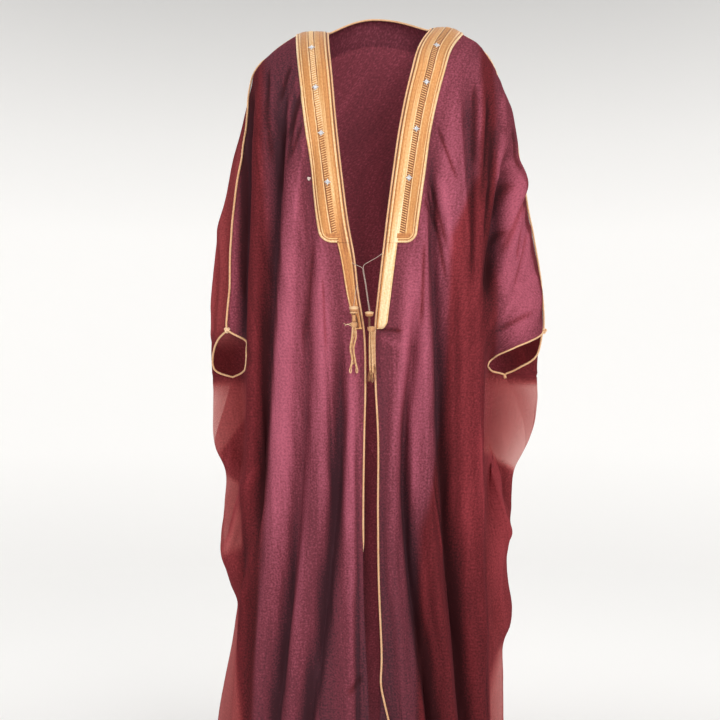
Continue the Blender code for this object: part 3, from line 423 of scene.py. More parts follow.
FINE_CREASES: dict[Side, list[Crease]] = {
    Side.RIGHT: [
        Crease("swoop_a", 0.226, 0.85, 0.288, 1.036, 0.005, 0.0045),
        Crease("swoop_b", 0.258, 0.915, 0.292, 1.05, 0.005, 0.004),
        Crease("swoop_line", 0.236, 0.87, 0.284, 1.06, 0.004, -0.0036),
        Crease("edge_nick", 0.026, 1.255, 0.056, 1.292, 0.005, -0.0036),
        Crease("band_pull_a", 0.142, 0.12, 0.176, 0.3, 0.004, -0.003),
        Crease("band_pull_b", 0.132, 0.2, 0.16, 0.42, 0.004, 0.0026),
        Crease("band_pull_c", 0.12, 0.42, 0.14, 0.64, 0.005, -0.0024),
        Crease("shoulder_line", 0.211, 0.07, 0.211, 0.226, 0.003, -0.004),
        Crease("fan_a", 0.166, 0.078, 0.193, 0.162, 0.0038, -0.0042),
        Crease("fan_roll_a", 0.152, 0.107, 0.181, 0.205, 0.004, 0.0032),
        Crease("fan_b", 0.148, 0.141, 0.174, 0.238, 0.0034, -0.004),
        Crease("fan_roll_b", 0.145, 0.166, 0.167, 0.256, 0.0034, 0.0026),
        Crease("fan_c", 0.141, 0.199, 0.165, 0.276, 0.0032, -0.0034),
        Crease("long_line", 0.103, 0.49, 0.097, 0.651, 0.0024, -0.0028),
        Crease("arm_ridge", 0.227, 0.06, 0.222, 0.224, 0.004, 0.0034),
        Crease("arm_ridge_low", 0.223, 0.2, 0.215, 0.335, 0.004, 0.003),
        Crease("arm_line", 0.21, 0.082, 0.204, 0.296, 0.0032, -0.0042),
        Crease("neck_ridge", 0.179, 0.096, 0.191, 0.21, 0.0044, 0.0032),
        Crease("neck_hollow", 0.183, 0.19, 0.188, 0.35, 0.006, -0.0046),
        Crease("sleeve_light", 0.296, 0.325, 0.308, 0.59, 0.0034, 0.0034),
        Crease("sleeve_dark", 0.288, 0.33, 0.296, 0.59, 0.0026, -0.0034),
        Crease("sleeve_dark_b", 0.308, 0.395, 0.316, 0.615, 0.003, -0.0034),
        Crease("seam_hollow", 0.266, 0.205, 0.269, 0.58, 0.0044, -0.0056),
    ],
    Side.LEFT: [
        Crease("hand_line_a", 0.212, 0.82, 0.264, 1.035, 0.0036, 0.0048),
        Crease("hand_line_b", 0.226, 0.815, 0.262, 0.945, 0.004, 0.0036),
        Crease("hand_line_c", 0.222, 0.86, 0.256, 1.01, 0.004, -0.004),
        Crease("red_edge_a", 0.098, 0.87, 0.129, 1.06, 0.0024, 0.003),
        Crease("red_edge_b", 0.127, 1.045, 0.154, 1.215, 0.0024, 0.003),
        Crease("red_groove_a", 0.104, 0.87, 0.135, 1.06, 0.0024, -0.0034),
        Crease("red_groove_b", 0.133, 1.045, 0.16, 1.215, 0.0024, -0.0034),
        Crease("cuff_crease_a", 0.31, 0.56, 0.216, 0.612, 0.005, -0.0036),
        Crease("cuff_crease_b", 0.242, 0.54, 0.212, 0.61, 0.004, 0.0032),
        Crease("cuff_crease_c", 0.322, 0.48, 0.23, 0.59, 0.006, 0.003),
        Crease("sleeve_crease_a", 0.3, 0.3, 0.236, 0.47, 0.005, -0.0034),
        Crease("sleeve_crease_b", 0.312, 0.38, 0.24, 0.54, 0.006, 0.0036),
        Crease("tie_pull", -0.004, 0.598, 0.052, 0.604, 0.004, -0.004),
        Crease("tie_roll", -0.002, 0.612, 0.06, 0.64, 0.008, 0.003),
        Crease("mauve_hollow", 0.22, 0.131, 0.194, 0.379, 0.006, -0.0048),
        Crease("red_strip_b", 0.237, 0.184, 0.21, 0.379, 0.004, -0.0042),
        Crease("fan_a", 0.096, 0.326, 0.119, 0.421, 0.0028, -0.0034),
        Crease("fan_b", 0.105, 0.308, 0.136, 0.448, 0.003, -0.0036),
        Crease("fan_roll_a", 0.1, 0.313, 0.123, 0.414, 0.003, 0.0024),
        Crease("fan_roll_b", 0.116, 0.292, 0.145, 0.46, 0.004, 0.003),
        Crease("fan_c", 0.089, 0.349, 0.104, 0.382, 0.0026, -0.0026),
        Crease("ridge_split", 0.09, 0.421, 0.084, 0.605, 0.0034, -0.004),
        Crease("deep_high", 0.19, 0.11, 0.185, 0.3, 0.0042, -0.0052),
        Crease("deep_low", 0.186, 0.27, 0.178, 0.53, 0.004, -0.0046),
        Crease("deep_ridge", 0.197, 0.15, 0.191, 0.245, 0.0034, 0.003),
        Crease("mauve_strip", 0.216, 0.116, 0.204, 0.296, 0.006, -0.0034),
        Crease("red_hollow", 0.226, 0.185, 0.216, 0.33, 0.005, -0.0048),
        Crease("red_hollow_low", 0.217, 0.31, 0.203, 0.435, 0.005, -0.0044),
        Crease("arm_ridge", 0.246, 0.125, 0.25, 0.21, 0.006, 0.004),
        Crease("arm_ridge_low", 0.25, 0.2, 0.234, 0.312, 0.006, 0.004),
        Crease("edge_strip", 0.27, 0.19, 0.282, 0.296, 0.004, -0.0036),
        Crease("elbow_roll", 0.274, 0.258, 0.234, 0.315, 0.006, 0.0042),
        Crease("elbow_hollow", 0.268, 0.3, 0.231, 0.393, 0.006, -0.005),
        Crease("elbow_hollow_b", 0.254, 0.4, 0.22, 0.45, 0.005, -0.005),
        Crease("elbow_ridge", 0.293, 0.345, 0.254, 0.452, 0.006, 0.0042),
        Crease("elbow_ridge_low", 0.256, 0.445, 0.229, 0.525, 0.006, 0.0036),
        Crease("elbow_line", 0.29, 0.33, 0.268, 0.48, 0.003, -0.004),
        Crease("elbow_line_b", 0.298, 0.395, 0.262, 0.53, 0.0026, -0.0034),
        Crease("forearm_ridge", 0.306, 0.4, 0.27, 0.55, 0.004, 0.0034),
        Crease("chest_line_a", 0.115, 0.2, 0.154, 0.318, 0.003, -0.0034),
        Crease("chest_line_b", 0.104, 0.298, 0.135, 0.524, 0.003, -0.004),
        Crease("chest_roll", 0.124, 0.298, 0.146, 0.468, 0.005, 0.003),
    ],
}
FRONT_LINES: dict[Side, tuple[str, ...]] = {
    Side.RIGHT: ("edge_ridge", "edge_valley", "middle_ridge", "main_valley", "main_ridge"),
    Side.LEFT: ("edge_ridge", "edge_valley", "inner_ridge", "main_valley", "main_ridge"),
}
OUTER_LINE: dict[Side, str] = {Side.RIGHT: "armpit_valley", Side.LEFT: "shoulder_ridge"}
BACK_LINES = (
    "centre_valley",
    "blade_ridge",
    "blade_valley",
    "shoulder_ridge",
    "arm_valley",
    "side_ridge",
)
FRONT_GAPS, BACK_GAPS = 7, 6  # gaps between the lines that a panel's columns follow
ARM_SHARE, SIDE_SHARE = 0.70, 0.62  # shares of a panel's width that end at its last line


# ---- curves and noise ------------------------------------------------------------------------
def through(knots: Sequence[float], values: Sequence[float], at: Array) -> Array:
    """A smooth curve through the knots, level with the last values outside them.

    Args:
        knots: Places of the knots, in order.
        values: Height of the curve at each knot.
        at: Places to read the curve at.

    Returns:
        The curve's heights there.
    """
    knots, values = np.asarray(knots, float), np.asarray(values, float)
    at = np.clip(np.asarray(at, float), knots[0], knots[-1])
    slopes = np.gradient(values, knots)
    cell = np.clip(np.searchsorted(knots, at, side="right") - 1, 0, len(knots) - 2)
    length = knots[cell + 1] - knots[cell]
    t = (at - knots[cell]) / length
    rise = t * t * (3 - 2 * t)
    return (
        values[cell] * (1 - rise)
        + values[cell + 1] * rise
        + slopes[cell] * length * t * (1 - t) ** 2
        - slopes[cell + 1] * length * t * t * (1 - t)
    )


def column_of(table: Sequence[NamedTuple], name: str) -> list[float]:
    """One named column of a table."""
    return [getattr(row, name) for row in table]


def side_curve(table: Sequence[NamedTuple], side: Side, drop: Array) -> Array:
    """A side's column of a table, as a smooth curve read at these drops."""
    return through(column_of(table, "drop"), column_of(table, side.word), drop)


def smooth_step(low: float, high: float, at: Array) -> Array:
    """0 below low, 1 above high, and a smooth rise between them."""
    t = np.clip((np.asarray(at, float) - low) / (high - low), 0, 1)
    return t * t * (3 - 2 * t)


def unit(vectors: Array) -> Array:
    """The vectors along the last axis at length 1."""
    return vectors / np.maximum(np.linalg.norm(vectors, axis=-1, keepdims=True), 1e-12)


@dataclass(frozen=True)
class SoftNoise:
    """Smooth noise over a plane, the same each run."""

    seed: int
    cells: int = 64

    def at(self, u: Array, v: Array) -> Array:
        """The noise at these places.

        Args:
            u: First coordinate, in cells.
            v: Second coordinate, in cells.

        Returns:
            Values from -1 to 1.
        """
        lattice = np.random.default_rng(self.seed).uniform(-1, 1, (self.cells, self.cells))
        i, j = np.floor(u).astype(int), np.floor(v).astype(int)
        s, t = u - i, v - j
        s, t = s * s * (3 - 2 * s), t * t * (3 - 2 * t)

        def line(a: int) -> Array:
            """The noise along one line of the lattice's cells."""
            ends = [lattice[(i + a) % self.cells, (j + b) % self.cells] for b in (0, 1)]
            return ends[0] * (1 - t) + ends[1] * t

        return line(0) * (1 - s) + line(1) * s


# ---- the worn form ---------------------------------------------------------------------------
@dataclass
class Surface:
    """Points of the worn form with what the finishes need to know of them."""

    points: Array
    fold: Array
    out: Array
    drop: Array
    girth: Array


@dataclass(frozen=True)
class WornForm:
    """The shape in which the cloak is worn, as surfaces of (share across, row down)."""

    shoulder_round: float = 0.12
    slant_drop: float = 0.30
    section_power: float = 0.80
    fold_grows: float = 0.16
    fold_fades: float = 0.14
    fold_deepens: tuple[float, float] = (0.30, 1.20)
    crease_ends: float = 0.25
    swag_ends: float = 0.14
    front_fades: tuple[float, float] = (1.06, 0.96)
    back_starts: tuple[float, float] = (1.00, 1.12)
    back_middle: float = 0.03
    band_frees: tuple[float, float] = (0.62, 0.86)
    neck_frees: tuple[float, float] = (0.02, 0.34)
    line_room: tuple[float, float] = (0.008, 0.009)
    last_line: float = 0.93
    seam_share: float = 0.4
    nape: tuple[float, float] = (0.080, 0.045)
    recess_starts: tuple[float, float] = (0.600, 0.700)
    recess_fades: tuple[float, float] = (0.840, 1.080)
    recess_step: float = 0.026
    recess_share: float = 0.78

    def depth(self, name: str, drop: Array) -> Array:
        """Front-to-back place of the section's front, side or back."""
        return through(column_of(DEPTHS, "drop"), column_of(DEPTHS, name), drop)

    def side_line(self, side: Side, drop: Array, name: str) -> Array:
        """Girth of one panel's edge along the side."""
        table = SIDE_LINE[side]
        return np.interp(drop, column_of(table, "drop"), column_of(table, name))

    def seam_line(self, side: Side, drop: Array) -> Array:
        """Girth of the side line as if it had no hand opening."""
        table = [row for row in SIDE_LINE[side] if row.front == row.back]
        return np.interp(drop, column_of(table, "drop"), column_of(table, "front"))

    def shoulder_height(self, side: Side, out: Array) -> Array:
        """Height of the shoulder line at this distance out."""
        return through(column_of(SHOULDER_LINE, "out"), column_of(SHOULDER_LINE, side.word), out)

    def neck_point(self, side: Side) -> float:
        """How far out the shoulder seam starts, beside the neck."""
        return getattr(FRONT_EDGE[0], side.word)

    def shoulder_tip(self, side: Side) -> tuple[float, float]:
        """Distance out and drop of the outer end of the shoulder line."""
        last = SHOULDER_LINE[-1]
        return last.out, -getattr(last, side.word)

    def fold_place(self, fold: Fold, drop: Array) -> Array:
        """How far out the middle of a hanging fold is."""
        return through(FOLD_DROPS, (fold.chest, fold.waist, fold.knee, fold.hem), drop)

    def hanging(self, folds: Sequence[Fold], out: Array, drop: Array) -> Array:
        """Summed height of hanging folds.

        Args:
            folds: The folds to add up.
            out: Distances out from the centre.
            drop: Drops under the shoulder points.

        Returns:
            Height at each place, outward positive.
        """
        total = np.zeros(np.broadcast(out, drop).shape)
        for fold in folds:
            away = out - self.fold_place(fold, drop)
            width = np.where(away < 0, fold.inner, fold.outer)
            grown = smooth_step(fold.starts, fold.starts + self.fold_grows, drop)
            fading = 1 - smooth_step(fold.ends - self.fold_fades, fold.ends, drop)
            height = fold.high + (fold.low - fold.high) * smooth_step(*self.fold_deepens, drop)
            total = total + height * grown * fading * np.exp(-((away / width) ** 2))
        return total

    def slanting(self, creases: Sequence[Crease], out: Array, drop: Array) -> Array:
        """Summed height of slanting creases.

        Args:
            creases: The creases to add up.
            out: Distances out from the centre.
            drop: Drops under the shoulder points.

        Returns:
            Height at each place, outward positive.
        """
        total = np.zeros(np.broadcast(out, drop).shape)
        for crease in creases:
            run = np.array([crease.out_low - crease.out_high, crease.drop_low - crease.drop_high])
            length = np.hypot(*run)
            run = run / length
            x, z = out - crease.out_high, drop - crease.drop_high
            along = (x * run[0] + z * run[1]) / length
            aside = x * run[1] - z * run[0]
            ends = smooth_step(0.0, self.crease_ends, along)
            ends = ends * (1 - smooth_step(1 - self.crease_ends, 1.0, along))
            total = total + crease.height * ends * np.exp(-((aside / crease.half_width) ** 2))
        return total

    def swags(self, side: Side, girth: Array, drop: Array) -> Array:
        """Summed height of the folds that swing round the side.

        Args:
            side: The wearer's side.
            girth: 0 at the front edge, 1 at the side, 2 at the centre back.
            drop: Drops under the shoulder points.

        Returns:
            Height at each place, outward positive.
        """
        total = np.zeros(np.broadcast(girth, drop).shape)
        for swag in SWAGS[side]:
            along = (swag.girth_high - girth) / (swag.girth_high - swag.girth_low)
            centre = swag.drop_high + (swag.drop_low - swag.drop_high) * along
            ends = np.clip(1 - (2 * along - 1) ** 2, 0, 1)
            total = total + swag.height * ends * np.exp(-(((drop - centre) / swag.half_drop) ** 2))
        return total * (1 - np.exp(-(((girth - 1) / self.swag_ends) ** 2)))

    def section(self, side: Side, girth: Array, span: dict[str, Array]) -> tuple[Array, Array]:
        """Distance out and place front to back of the section before its folds.

        Args:
            side: The wearer's side.
            girth: 0 at the front edge, 1 at the side, 2 at the centre back.
            span: Drop, edge, outline, cap and top_back of each point.

        Returns:
            Distances out, and places front to back.
        """
        angle = girth * math.pi / 2
        front = girth <= 1
        reach = np.sin(angle)
        drop, edge, outline = span["drop"], span["edge"], span["outline"]
        out = np.where(front, edge + (outline - edge) * reach, outline * reach)
        bulge = np.abs(np.cos(angle)) ** self.section_power
        column = side_curve(COLUMN_EDGE, side, drop)
        behind = smooth_step(*self.recess_starts, drop) * (1 - smooth_step(*self.recess_fades, drop))
        behind = behind * smooth_step(0.0, self.recess_step, out - column)
        flatten = np.where(front, 1 - self.recess_share * behind, 1)
        side_y = self.depth("side", drop)
        far = np.where(front, self.depth("front", drop), self.depth("back", drop))
        cap = span["cap"]
        return out, side_y + (far - side_y) * bulge * flatten * cap + span["top_back"] * (1 - cap)

    def fine_lines(self, side: Side, out: Array, drop: Array) -> Array:
        """Summed height of the finer folds and creases of a front."""
        lines = self.hanging(FINE_FOLDS[side], out, drop)
        return lines + self.slanting(FINE_CREASES[side], out, drop)

    def worn(self, side: Side, girth: Array, span: dict[str, Array]) -> Surface:
        """The cloak's surface, with its folds along the section's outward normal.

        Args:
            side: The wearer's side.
            girth: 0 at the front edge, 1 at the side, 2 at the centre back.
            span: Drop, edge, outline, cap and top_back of each point.

        Returns:
            The surface at those places.
        """
        step = 0.004  # of girth, over which the normal is worked out
        out, back = self.section(side, girth, span)
        out_a, back_a = self.section(side, girth - step, span)
        out_b, back_b = self.section(side, girth + step, span)
        run_out, run_back = out_b - out_a, back_b - back_a
        length = np.maximum(np.hypot(run_out, run_back), 1e-9)
        drop = span["drop"]
        front = self.hanging(FRONT_FOLDS[side], out, drop) + self.slanting(CREASES[side], out, drop)
        front = (front + self.fine_lines(side, out, drop)) * smooth_step(*self.front_fades, girth)
        rear = self.hanging(BACK_FOLDS[side], out, drop) * smooth_step(*self.back_starts, girth)
        rear = rear * smooth_step(0.0, self.back_middle, out)
        height = (front + rear + self.swags(side, girth, drop)) * span["cap"]
        x = side.value * (out + height * run_back / length)
        y = back - height * run_out / length
        points = np.stack([x, y, -drop + np.zeros_like(x)], axis=-1)
        return Surface(points, height, out, drop, girth)

    def cap(self, fall: Array) -> Array:
        """0 at a shoulder seam, rising to 1 where the shoulder has rounded over."""
        t = np.clip(fall / self.shoulder_round, 0, 1)
        return np.sqrt(np.maximum(1 - (1 - t) ** 2, 0))

    def slanted(self, row: Array, top: Array) -> Array:
        """Drop of a row's point under a top edge that is this far down."""
        return row + top * np.maximum(0, 1 - row / self.slant_drop) ** 2

    @staticmethod
    def along(lines: list[Array], share: Array) -> Array:
        """Distance out at a share of the way across, with the lines evenly shared out.

        Args:
            lines: Distances out of the lines, in order.
            share: 0 on the first line, 1 on the last.

        Returns:
            The distance out at each share.
        """
        count = len(lines) - 1
        out = lines[0]
        for k in range(count):
            out = out + (lines[k + 1] - lines[k]) * np.clip(share * count - k, 0, 1)
        return out

    @staticmethod
    def kept_apart(lines: list[Array], limit: Array, room: float) -> list[Array]:
        """Lines kept in order, apart from each other and inside a limit.

        Args:
            lines: Distances out of the lines.
            limit: The distance out that they stay inside.
            room: How far apart two of them are at least.

        Returns:
            Their new distances out.
        """
        kept = [lines[0]]
        for k, line in enumerate(lines[1:], 1):
            line = np.minimum(line, limit - (len(lines) - k) * room)
            kept.append(np.maximum(line, kept[-1] + room))
        return kept

    def front_lines(self, side: Side, drop: Array, edge: Array, outline: Array) -> list[Array]:
        """Distances out of a front's lines: its edge, the bands' edges, its folds, the column.

        Args:
            side: The wearer's side.
            drop: Drops under the shoulder points.
            edge: How far out the front's edge is there.
            outline: How far out the side is there.

        Returns:
            The lines' distances out, in order.
        """
        folds = {fold.name: fold for fold in FRONT_FOLDS[side]}
        band = 1 - smooth_step(*self.band_frees, drop)
        widths = (BAND_NARROW / 2, BAND_NARROW, BAND_WIDE)
        lines = [edge]
        for name, width in zip(FRONT_LINES[side], widths):
            free = self.fold_place(folds[name], drop)
            lines.append((edge + width) * band + free * (1 - band))
        for name in (*FRONT_LINES[side][3:], OUTER_LINE[side]):
            lines.append(self.fold_place(folds[name], drop))
        lines.append(side_curve(COLUMN_EDGE, side, drop))
        return lines[:4] + self.kept_apart(lines[3:], outline, self.line_room[0])[1:]

    def hung(self, side: Side, row: Array, top_drop: Array) -> tuple[dict[str, Array], Array]:
        """What a panel's section needs to know of its rows.

        Args:
            side: The wearer's side.
            row: 0 at the shoulder seam, then the drop further down.
            top_drop: Drop of the panel's top edge over each point.

        Returns:
            Drop, edge, outline and cap of each point, and the drop at the side.
        """
        drop = self.slanted(row, top_drop)
        side_drop = self.slanted(row, self.shoulder_tip(side)[1])
        neck_drop = self.slanted(row, -self.shoulder_height(side, self.neck_point(side)))
        edge, outline = side_curve(FRONT_EDGE, side, neck_drop), side_curve(OUTLINE, side, side_drop)
        span = {"drop": drop, "edge": edge, "outline": outline, "cap": self.cap(drop - top_drop)}
        return span, side_drop

    def front(self, side: Side, across: Array, row: Array) -> Surface:
        """A front's surface.

        Args:
            side: The wearer's side.
            across: 0 at the front edge, 1 at the side line.
            row: 0 at the shoulder seam, then the drop further down.

        Returns:
            The surface at those places.
        """
        across, row = np.broadcast_arrays(np.asarray(across, float), np.asarray(row, float))
        tip_out, tip_drop = self.shoulder_tip(side)
        start = self.neck_point(side)
        share = across / ARM_SHARE
        beyond = np.clip((across - ARM_SHARE) / (1 - ARM_SHARE), 0, 1)

        def girth_at(lines: list[Array], span: Array, end: Array) -> Array:
            """Find how far round the columns lie, between the front edge and the side line.

            Args:
                lines: Distances out of the front's lines, in order.
                span: How far the outline lies out from the front edge.
                end: Girth of the side line.

            Returns:
                The columns' girths.
            """
            out = self.along(lines, np.minimum(share, 1))
            girth = np.arcsin(np.clip((out - lines[0]) / span, 0, 1)) * 2 / math.pi
            girth = np.minimum(girth, end * self.last_line)
            return girth + (end - girth) * beyond

        top_lines = self.front_lines(side, tip_drop, start, tip_out)
        top_girth = girth_at(top_lines, tip_out - start, 1.0)
        top_out = start + (tip_out - start) * np.sin(top_girth * math.pi / 2)
        span, side_drop = self.hung(side, row, -self.shoulder_height(side, top_out))
        edge, outline = span["edge"], span["outline"]
        end = self.side_line(side, side_drop, "front")
        girth = girth_at(self.front_lines(side, side_drop, edge, outline), outline - edge, end)
        return self.worn(side, girth, span | {"top_back": 0.0})

    def back_lines(self, side: Side, drop: Array, outline: Array, row: Array) -> list[Array]:
        """Distances out of the lines of half the back: its folds, and the neck at the top.

        Args:
            side: The wearer's side.
            drop: Drops under the shoulder points.
            outline: How far out the side is there.
            row: The rows' distances under the top edge.

        Returns:
            The lines' distances out, in order.
        """
        folds = {fold.name: fold for fold in BACK_FOLDS[side]}
        top = np.array([0.34, 0.68, 1.0]) * self.neck_point(side)
        level = smooth_step(*self.neck_frees, row)
        lines = [0.0 * row]
        for k, name in enumerate(BACK_LINES):
            free = self.fold_place(folds[name], drop)
            lines.append(top[k] * (1 - level) + free * level if k < 3 else free)
        return lines[:4] + self.kept_apart(lines[3:], outline, self.line_room[1])[1:]

    def back(self, side: Side, across: Array, row: Array) -> Surface:
        """Half the back's surface.

        Args:
            side: The wearer's side.
            across: 0 at the centre back, 1 at the side line.
            row: 0 at the neck and shoulder seam, then the distance further down.

        Returns:
            The surface at those places.
        """
        across, row = np.broadcast_arrays(np.asarray(across, float), np.asarray(row, float))
        tip_out, tip_drop = self.shoulder_tip(side)
        start, (nape_back, nape_rise) = self.neck_point(side), self.nape
        share = across / SIDE_SHARE
        beyond = np.clip((across - SIDE_SHARE) / (1 - SIDE_SHARE), 0, 1)

        def girth_at(lines: list[Array], span: Array, sewn: Array, end: Array) -> Array:
            """Find how far round the columns lie, between the centre back and the side line.

            Args:
                lines: Distances out of the back's lines, in order.
                span: How far out the outline lies.
                sewn: Girth of the seam.
                end: Girth of the side line.

            Returns:
                The columns' girths.
            """
            out = self.along(lines, np.minimum(share, 1))
            girth = 2 - np.arcsin(np.clip(out / span, 0, 1)) * 2 / math.pi
            hold = np.clip((beyond - self.seam_share) / (1 - self.seam_share), 0, 1)
            return girth + (sewn - girth) * beyond + (end - sewn) * hold

        top_lines = self.back_lines(side, tip_drop, tip_out, 0 * row)
        top_girth = girth_at(top_lines, tip_out, 1.0, 1.0)
        top_out = tip_out * np.sin(top_girth * math.pi / 2)
        on_neck = np.clip(top_out / start, 0, 1)
        top_back = nape_back * np.sqrt(np.maximum(1 - on_neck**2, 0))
        seam_height = self.shoulder_height(side, np.maximum(top_out, start))
        top_drop = -(seam_height + (nape_rise - seam_height) * (1 - on_neck**2))
        span, side_drop = self.hung(side, row, top_drop)
        lines = self.back_lines(side, side_drop, span["outline"], row)
        ends = self.seam_line(side, side_drop), self.side_line(side, side_drop, "back")
        girth = girth_at(lines, span["outline"], *ends)
        return self.worn(side, girth, span | {"top_back": top_back})


FORM = WornForm()


# ---- meshes ----------------------------------------------------------------------------------
def add_mesh(name: str, points: Array, faces: Faces, layers: Layers) -> Piece:
    """A smooth-shaded mesh object with named values at its points.

    Args:
        name: The piece's name.
        points: Its vertices, in rows of three.
        faces: Vertex numbers of each face.
        layers: Values for the finishes at the same places: numbers, or rows of three.

    Returns:
        The object, linked to the scene.
    """
    mesh = bpy.data.meshes.new(name)
    mesh.from_pydata(points.reshape(-1, 3).tolist(), [], faces)
    for title, values in layers.items():
        vector = np.ndim(values) == np.ndim(points)
        layer = mesh.attributes.new(title, "FLOAT_VECTOR" if vector else "FLOAT", "POINT")
        layer.data.foreach_set("vector" if vector else "value", np.ravel(values).astype(np.float32))
    mesh.shade_smooth()
    obj = bpy.data.objects.new(name, mesh)
    bpy.context.scene.collection.objects.link(obj)
    return obj


def add_grid(name: str, points: Array, flip: bool, layers: Layers) -> Piece:
    """A grid of points as a mesh object.

    Args:
        name: The piece's name.
        points: Its points by row and column.
        flip: Whether its faces are turned over.
        layers: Values for the finishes by row and column.

    Returns:
        The object, linked to the scene.
    """
    rows, columns = points.shape[:2]
    first = np.arange(rows - 1)[:, None] * columns + np.arange(columns - 1)
    quads = np.stack([first, first + columns, first + columns + 1, first + 1], axis=-1)
    quads = quads.reshape(-1, 4)
    return add_mesh(name, points, (quads[:, ::-1] if flip else quads).tolist(), layers)


def grid_normals(points: Array, flip: bool) -> Array:
    """Outward unit normals of a grid."""
    down, across = np.gradient(points, axis=0), np.gradient(points, axis=1)
    return unit(np.cross(down, across) * (-1 if flip else 1))


def ring_faces(rings: int, sides: int, turned: bool = False) -> list[list[int]]:
    """Faces of a closed tube of rings.

    Args:
        rings: How many rings the tube has.
        sides: How many points each ring has.
        turned: Whether the points run round it the other way.

    Returns:
        Vertex numbers of the sides' faces and of both ends.
    """
    start, k = np.arange(rings - 1)[:, None] * sides, np.arange(sides)
    after = (k + 1) % sides
    quads = [start + k, start + after, start + sides + after, start + sides + k]
    faces = np.stack(quads, axis=-1).reshape(-1, 4)[:, [0, 3, 2, 1] if turned else slice(None)]
    ends = [list(range(sides))[::-1], list(range((rings - 1) * sides, rings * sides))]
    return faces.tolist() + [end[::-1] if turned else end for end in ends]


def lengths(points: Array, axis: int = 0) -> Array:
    """Distances along lines of points.

    Args:
        points: The points, in rows of three.
        axis: The axis that the lines run along.

    Returns:
        The distance of each point from the start of its line.
    """
    steps = np.linalg.norm(np.diff(points, axis=axis), axis=-1)
    return np.insert(np.cumsum(steps, axis=axis), 0, 0.0, axis=axis)


def resampled(path: Array, step: float) -> Array:
    """A path with its points evenly spaced.

    Args:
        path: The path's points.
        step: How far apart the new points lie, about.

    Returns:
        The new points, from end to end of the path.
    """
    places = lengths(path)
    at = np.linspace(0, places[-1], max(2, int(round(places[-1] / step)) + 1))
    return np.stack([np.interp(at, places, path[:, k]) for k in range(3)], axis=1)


def eased(path: Array, passes: int) -> Array:
    """A path with its corners rounded and its ends kept.

    Args:
        path: The path's points.
        passes: How often each point is drawn towards its neighbours.

    Returns:
        The moved points.
    """
    path = path.copy()
    for _ in range(passes):
        path[1:-1] = 0.25 * path[:-2] + 0.5 * path[1:-1] + 0.25 * path[2:]
    return path


def ways_across(path: Array) -> tuple[Array, Array]:
    """Two directions across a path that don't twist about it.

    Args:
        path: The path's points.

    Returns:
        The two unit directions at each point, square to the path and to each other.
    """
    along = unit(np.gradient(path, axis=0))
    side = np.cross(along[0], (0.0, 1.0, 0.0))
    if np.linalg.norm(side) < 0.1:
        side = np.cross(along[0], (1.0, 0.0, 0.0))
    sides = [unit(side)]
    for way in along[1:]:
        sides.append(unit(sides[-1] - way * np.dot(sides[-1], way)))
    first = np.array(sides)
    return first, np.cross(along, first)


@dataclass
class MeshBag:
    """Several closed shapes gathered into one mesh."""

    points: list[Array] = field(default_factory=list)
    faces: list[list[int]] = field(default_factory=list)
    tones: list[Array] = field(default_factory=list)
    count: int = 0

    def put(self, points: Array, faces: Faces, tone: float | Array) -> None:
        """Add one shape.

        Args:
            points: Its vertices.
            faces: Its faces, numbered from 0.
            tone: Lightness of its thread, from 0 to 1, for all of it or for each vertex.
        """
        self.points.append(points.reshape(-1, 3))
        self.faces.extend([[v + self.count for v in face] for face in faces])
        self.tones.append(tone + np.zeros(len(self.points[-1])))
        self.count += len(self.points[-1])

    def sweep(self, path: Array, radii: Array, sides: int, tone: float) -> None:
        """Add a closed round tube along a path.

        Args:
            path: Its centre line.
            radii: Its radius at each point of the line.
            sides: How many sides it has.
            tone: Lightness of its thread.
        """
        first, second = ways_across(path)
        turn = (np.arange(sides) * 2 * math.pi / sides)[None, :, None]
        ring = first[:, None] * np.cos(turn) + second[:, None] * np.sin(turn)
        points = path[:, None] + ring * radii[:, None, None]
        self.put(points, ring_faces(len(path), sides), tone)

    def obj(self, name: str) -> Piece:
        """The gathered shapes as one object."""
        layers = {"tone": np.concatenate(self.tones)}
        return add_mesh(name, np.concatenate(self.points), self.faces, layers)


@dataclass(frozen=True)
class Twist:
    """How a cord is laid: its plies, how quickly they turn and how far out they lie."""

    plies: int = 3
    pitch: float = 0.0085
    steps: int = 8
    sides: int = 5
    ply_out: float = 0.536
    over_all: float = 1.04
    ply_tone: float = 0.05

    def lay(self, bag: MeshBag, path: Array, radius: float, tone: float, ends: float = 1.0) -> None:
        """Lay twisted plies along a path.

        Args:
            bag: Where the plies go.
            path: The cord's centre line.
            radius: The cord's radius over the plies.
            tone: Lightness of the thread.
            ends: Radius at the far end, as a share of that at the start.
        """
        line = resampled(path, self.pitch / self.steps)
        first, second = ways_across(line)
        run = np.arange(len(line)) / self.steps * 2 * math.pi
        taper = np.linspace(1.0, ends, len(line))
        for ply in range(self.plies):
            angle = (run + ply * 2 * math.pi / self.plies)[:, None]
            offset = first * np.cos(angle) + second * np.sin(angle)
            centre = line + offset * (radius * self.ply_out * taper)[:, None]
            radii = radius * (self.over_all - self.ply_out) * taper
            bag.sweep(centre, radii, self.sides, tone + self.ply_tone * (ply - 1))


PIPING_TWIST = Twist()
TIE_TWIST = Twist(plies=2, pitch=0.0040, ply_out=0.5)
STRAND_TWIST = Twist(pitch=0.0090, steps=9)


# ---- finishes --------------------------------------------------------------------------------
class Grain(NamedTuple):
    """A pattern in a finish: cells a metre, by axis or on all, its detail and share of the tone."""

    name: str
    scale: float | Point
    detail: float
    share: float


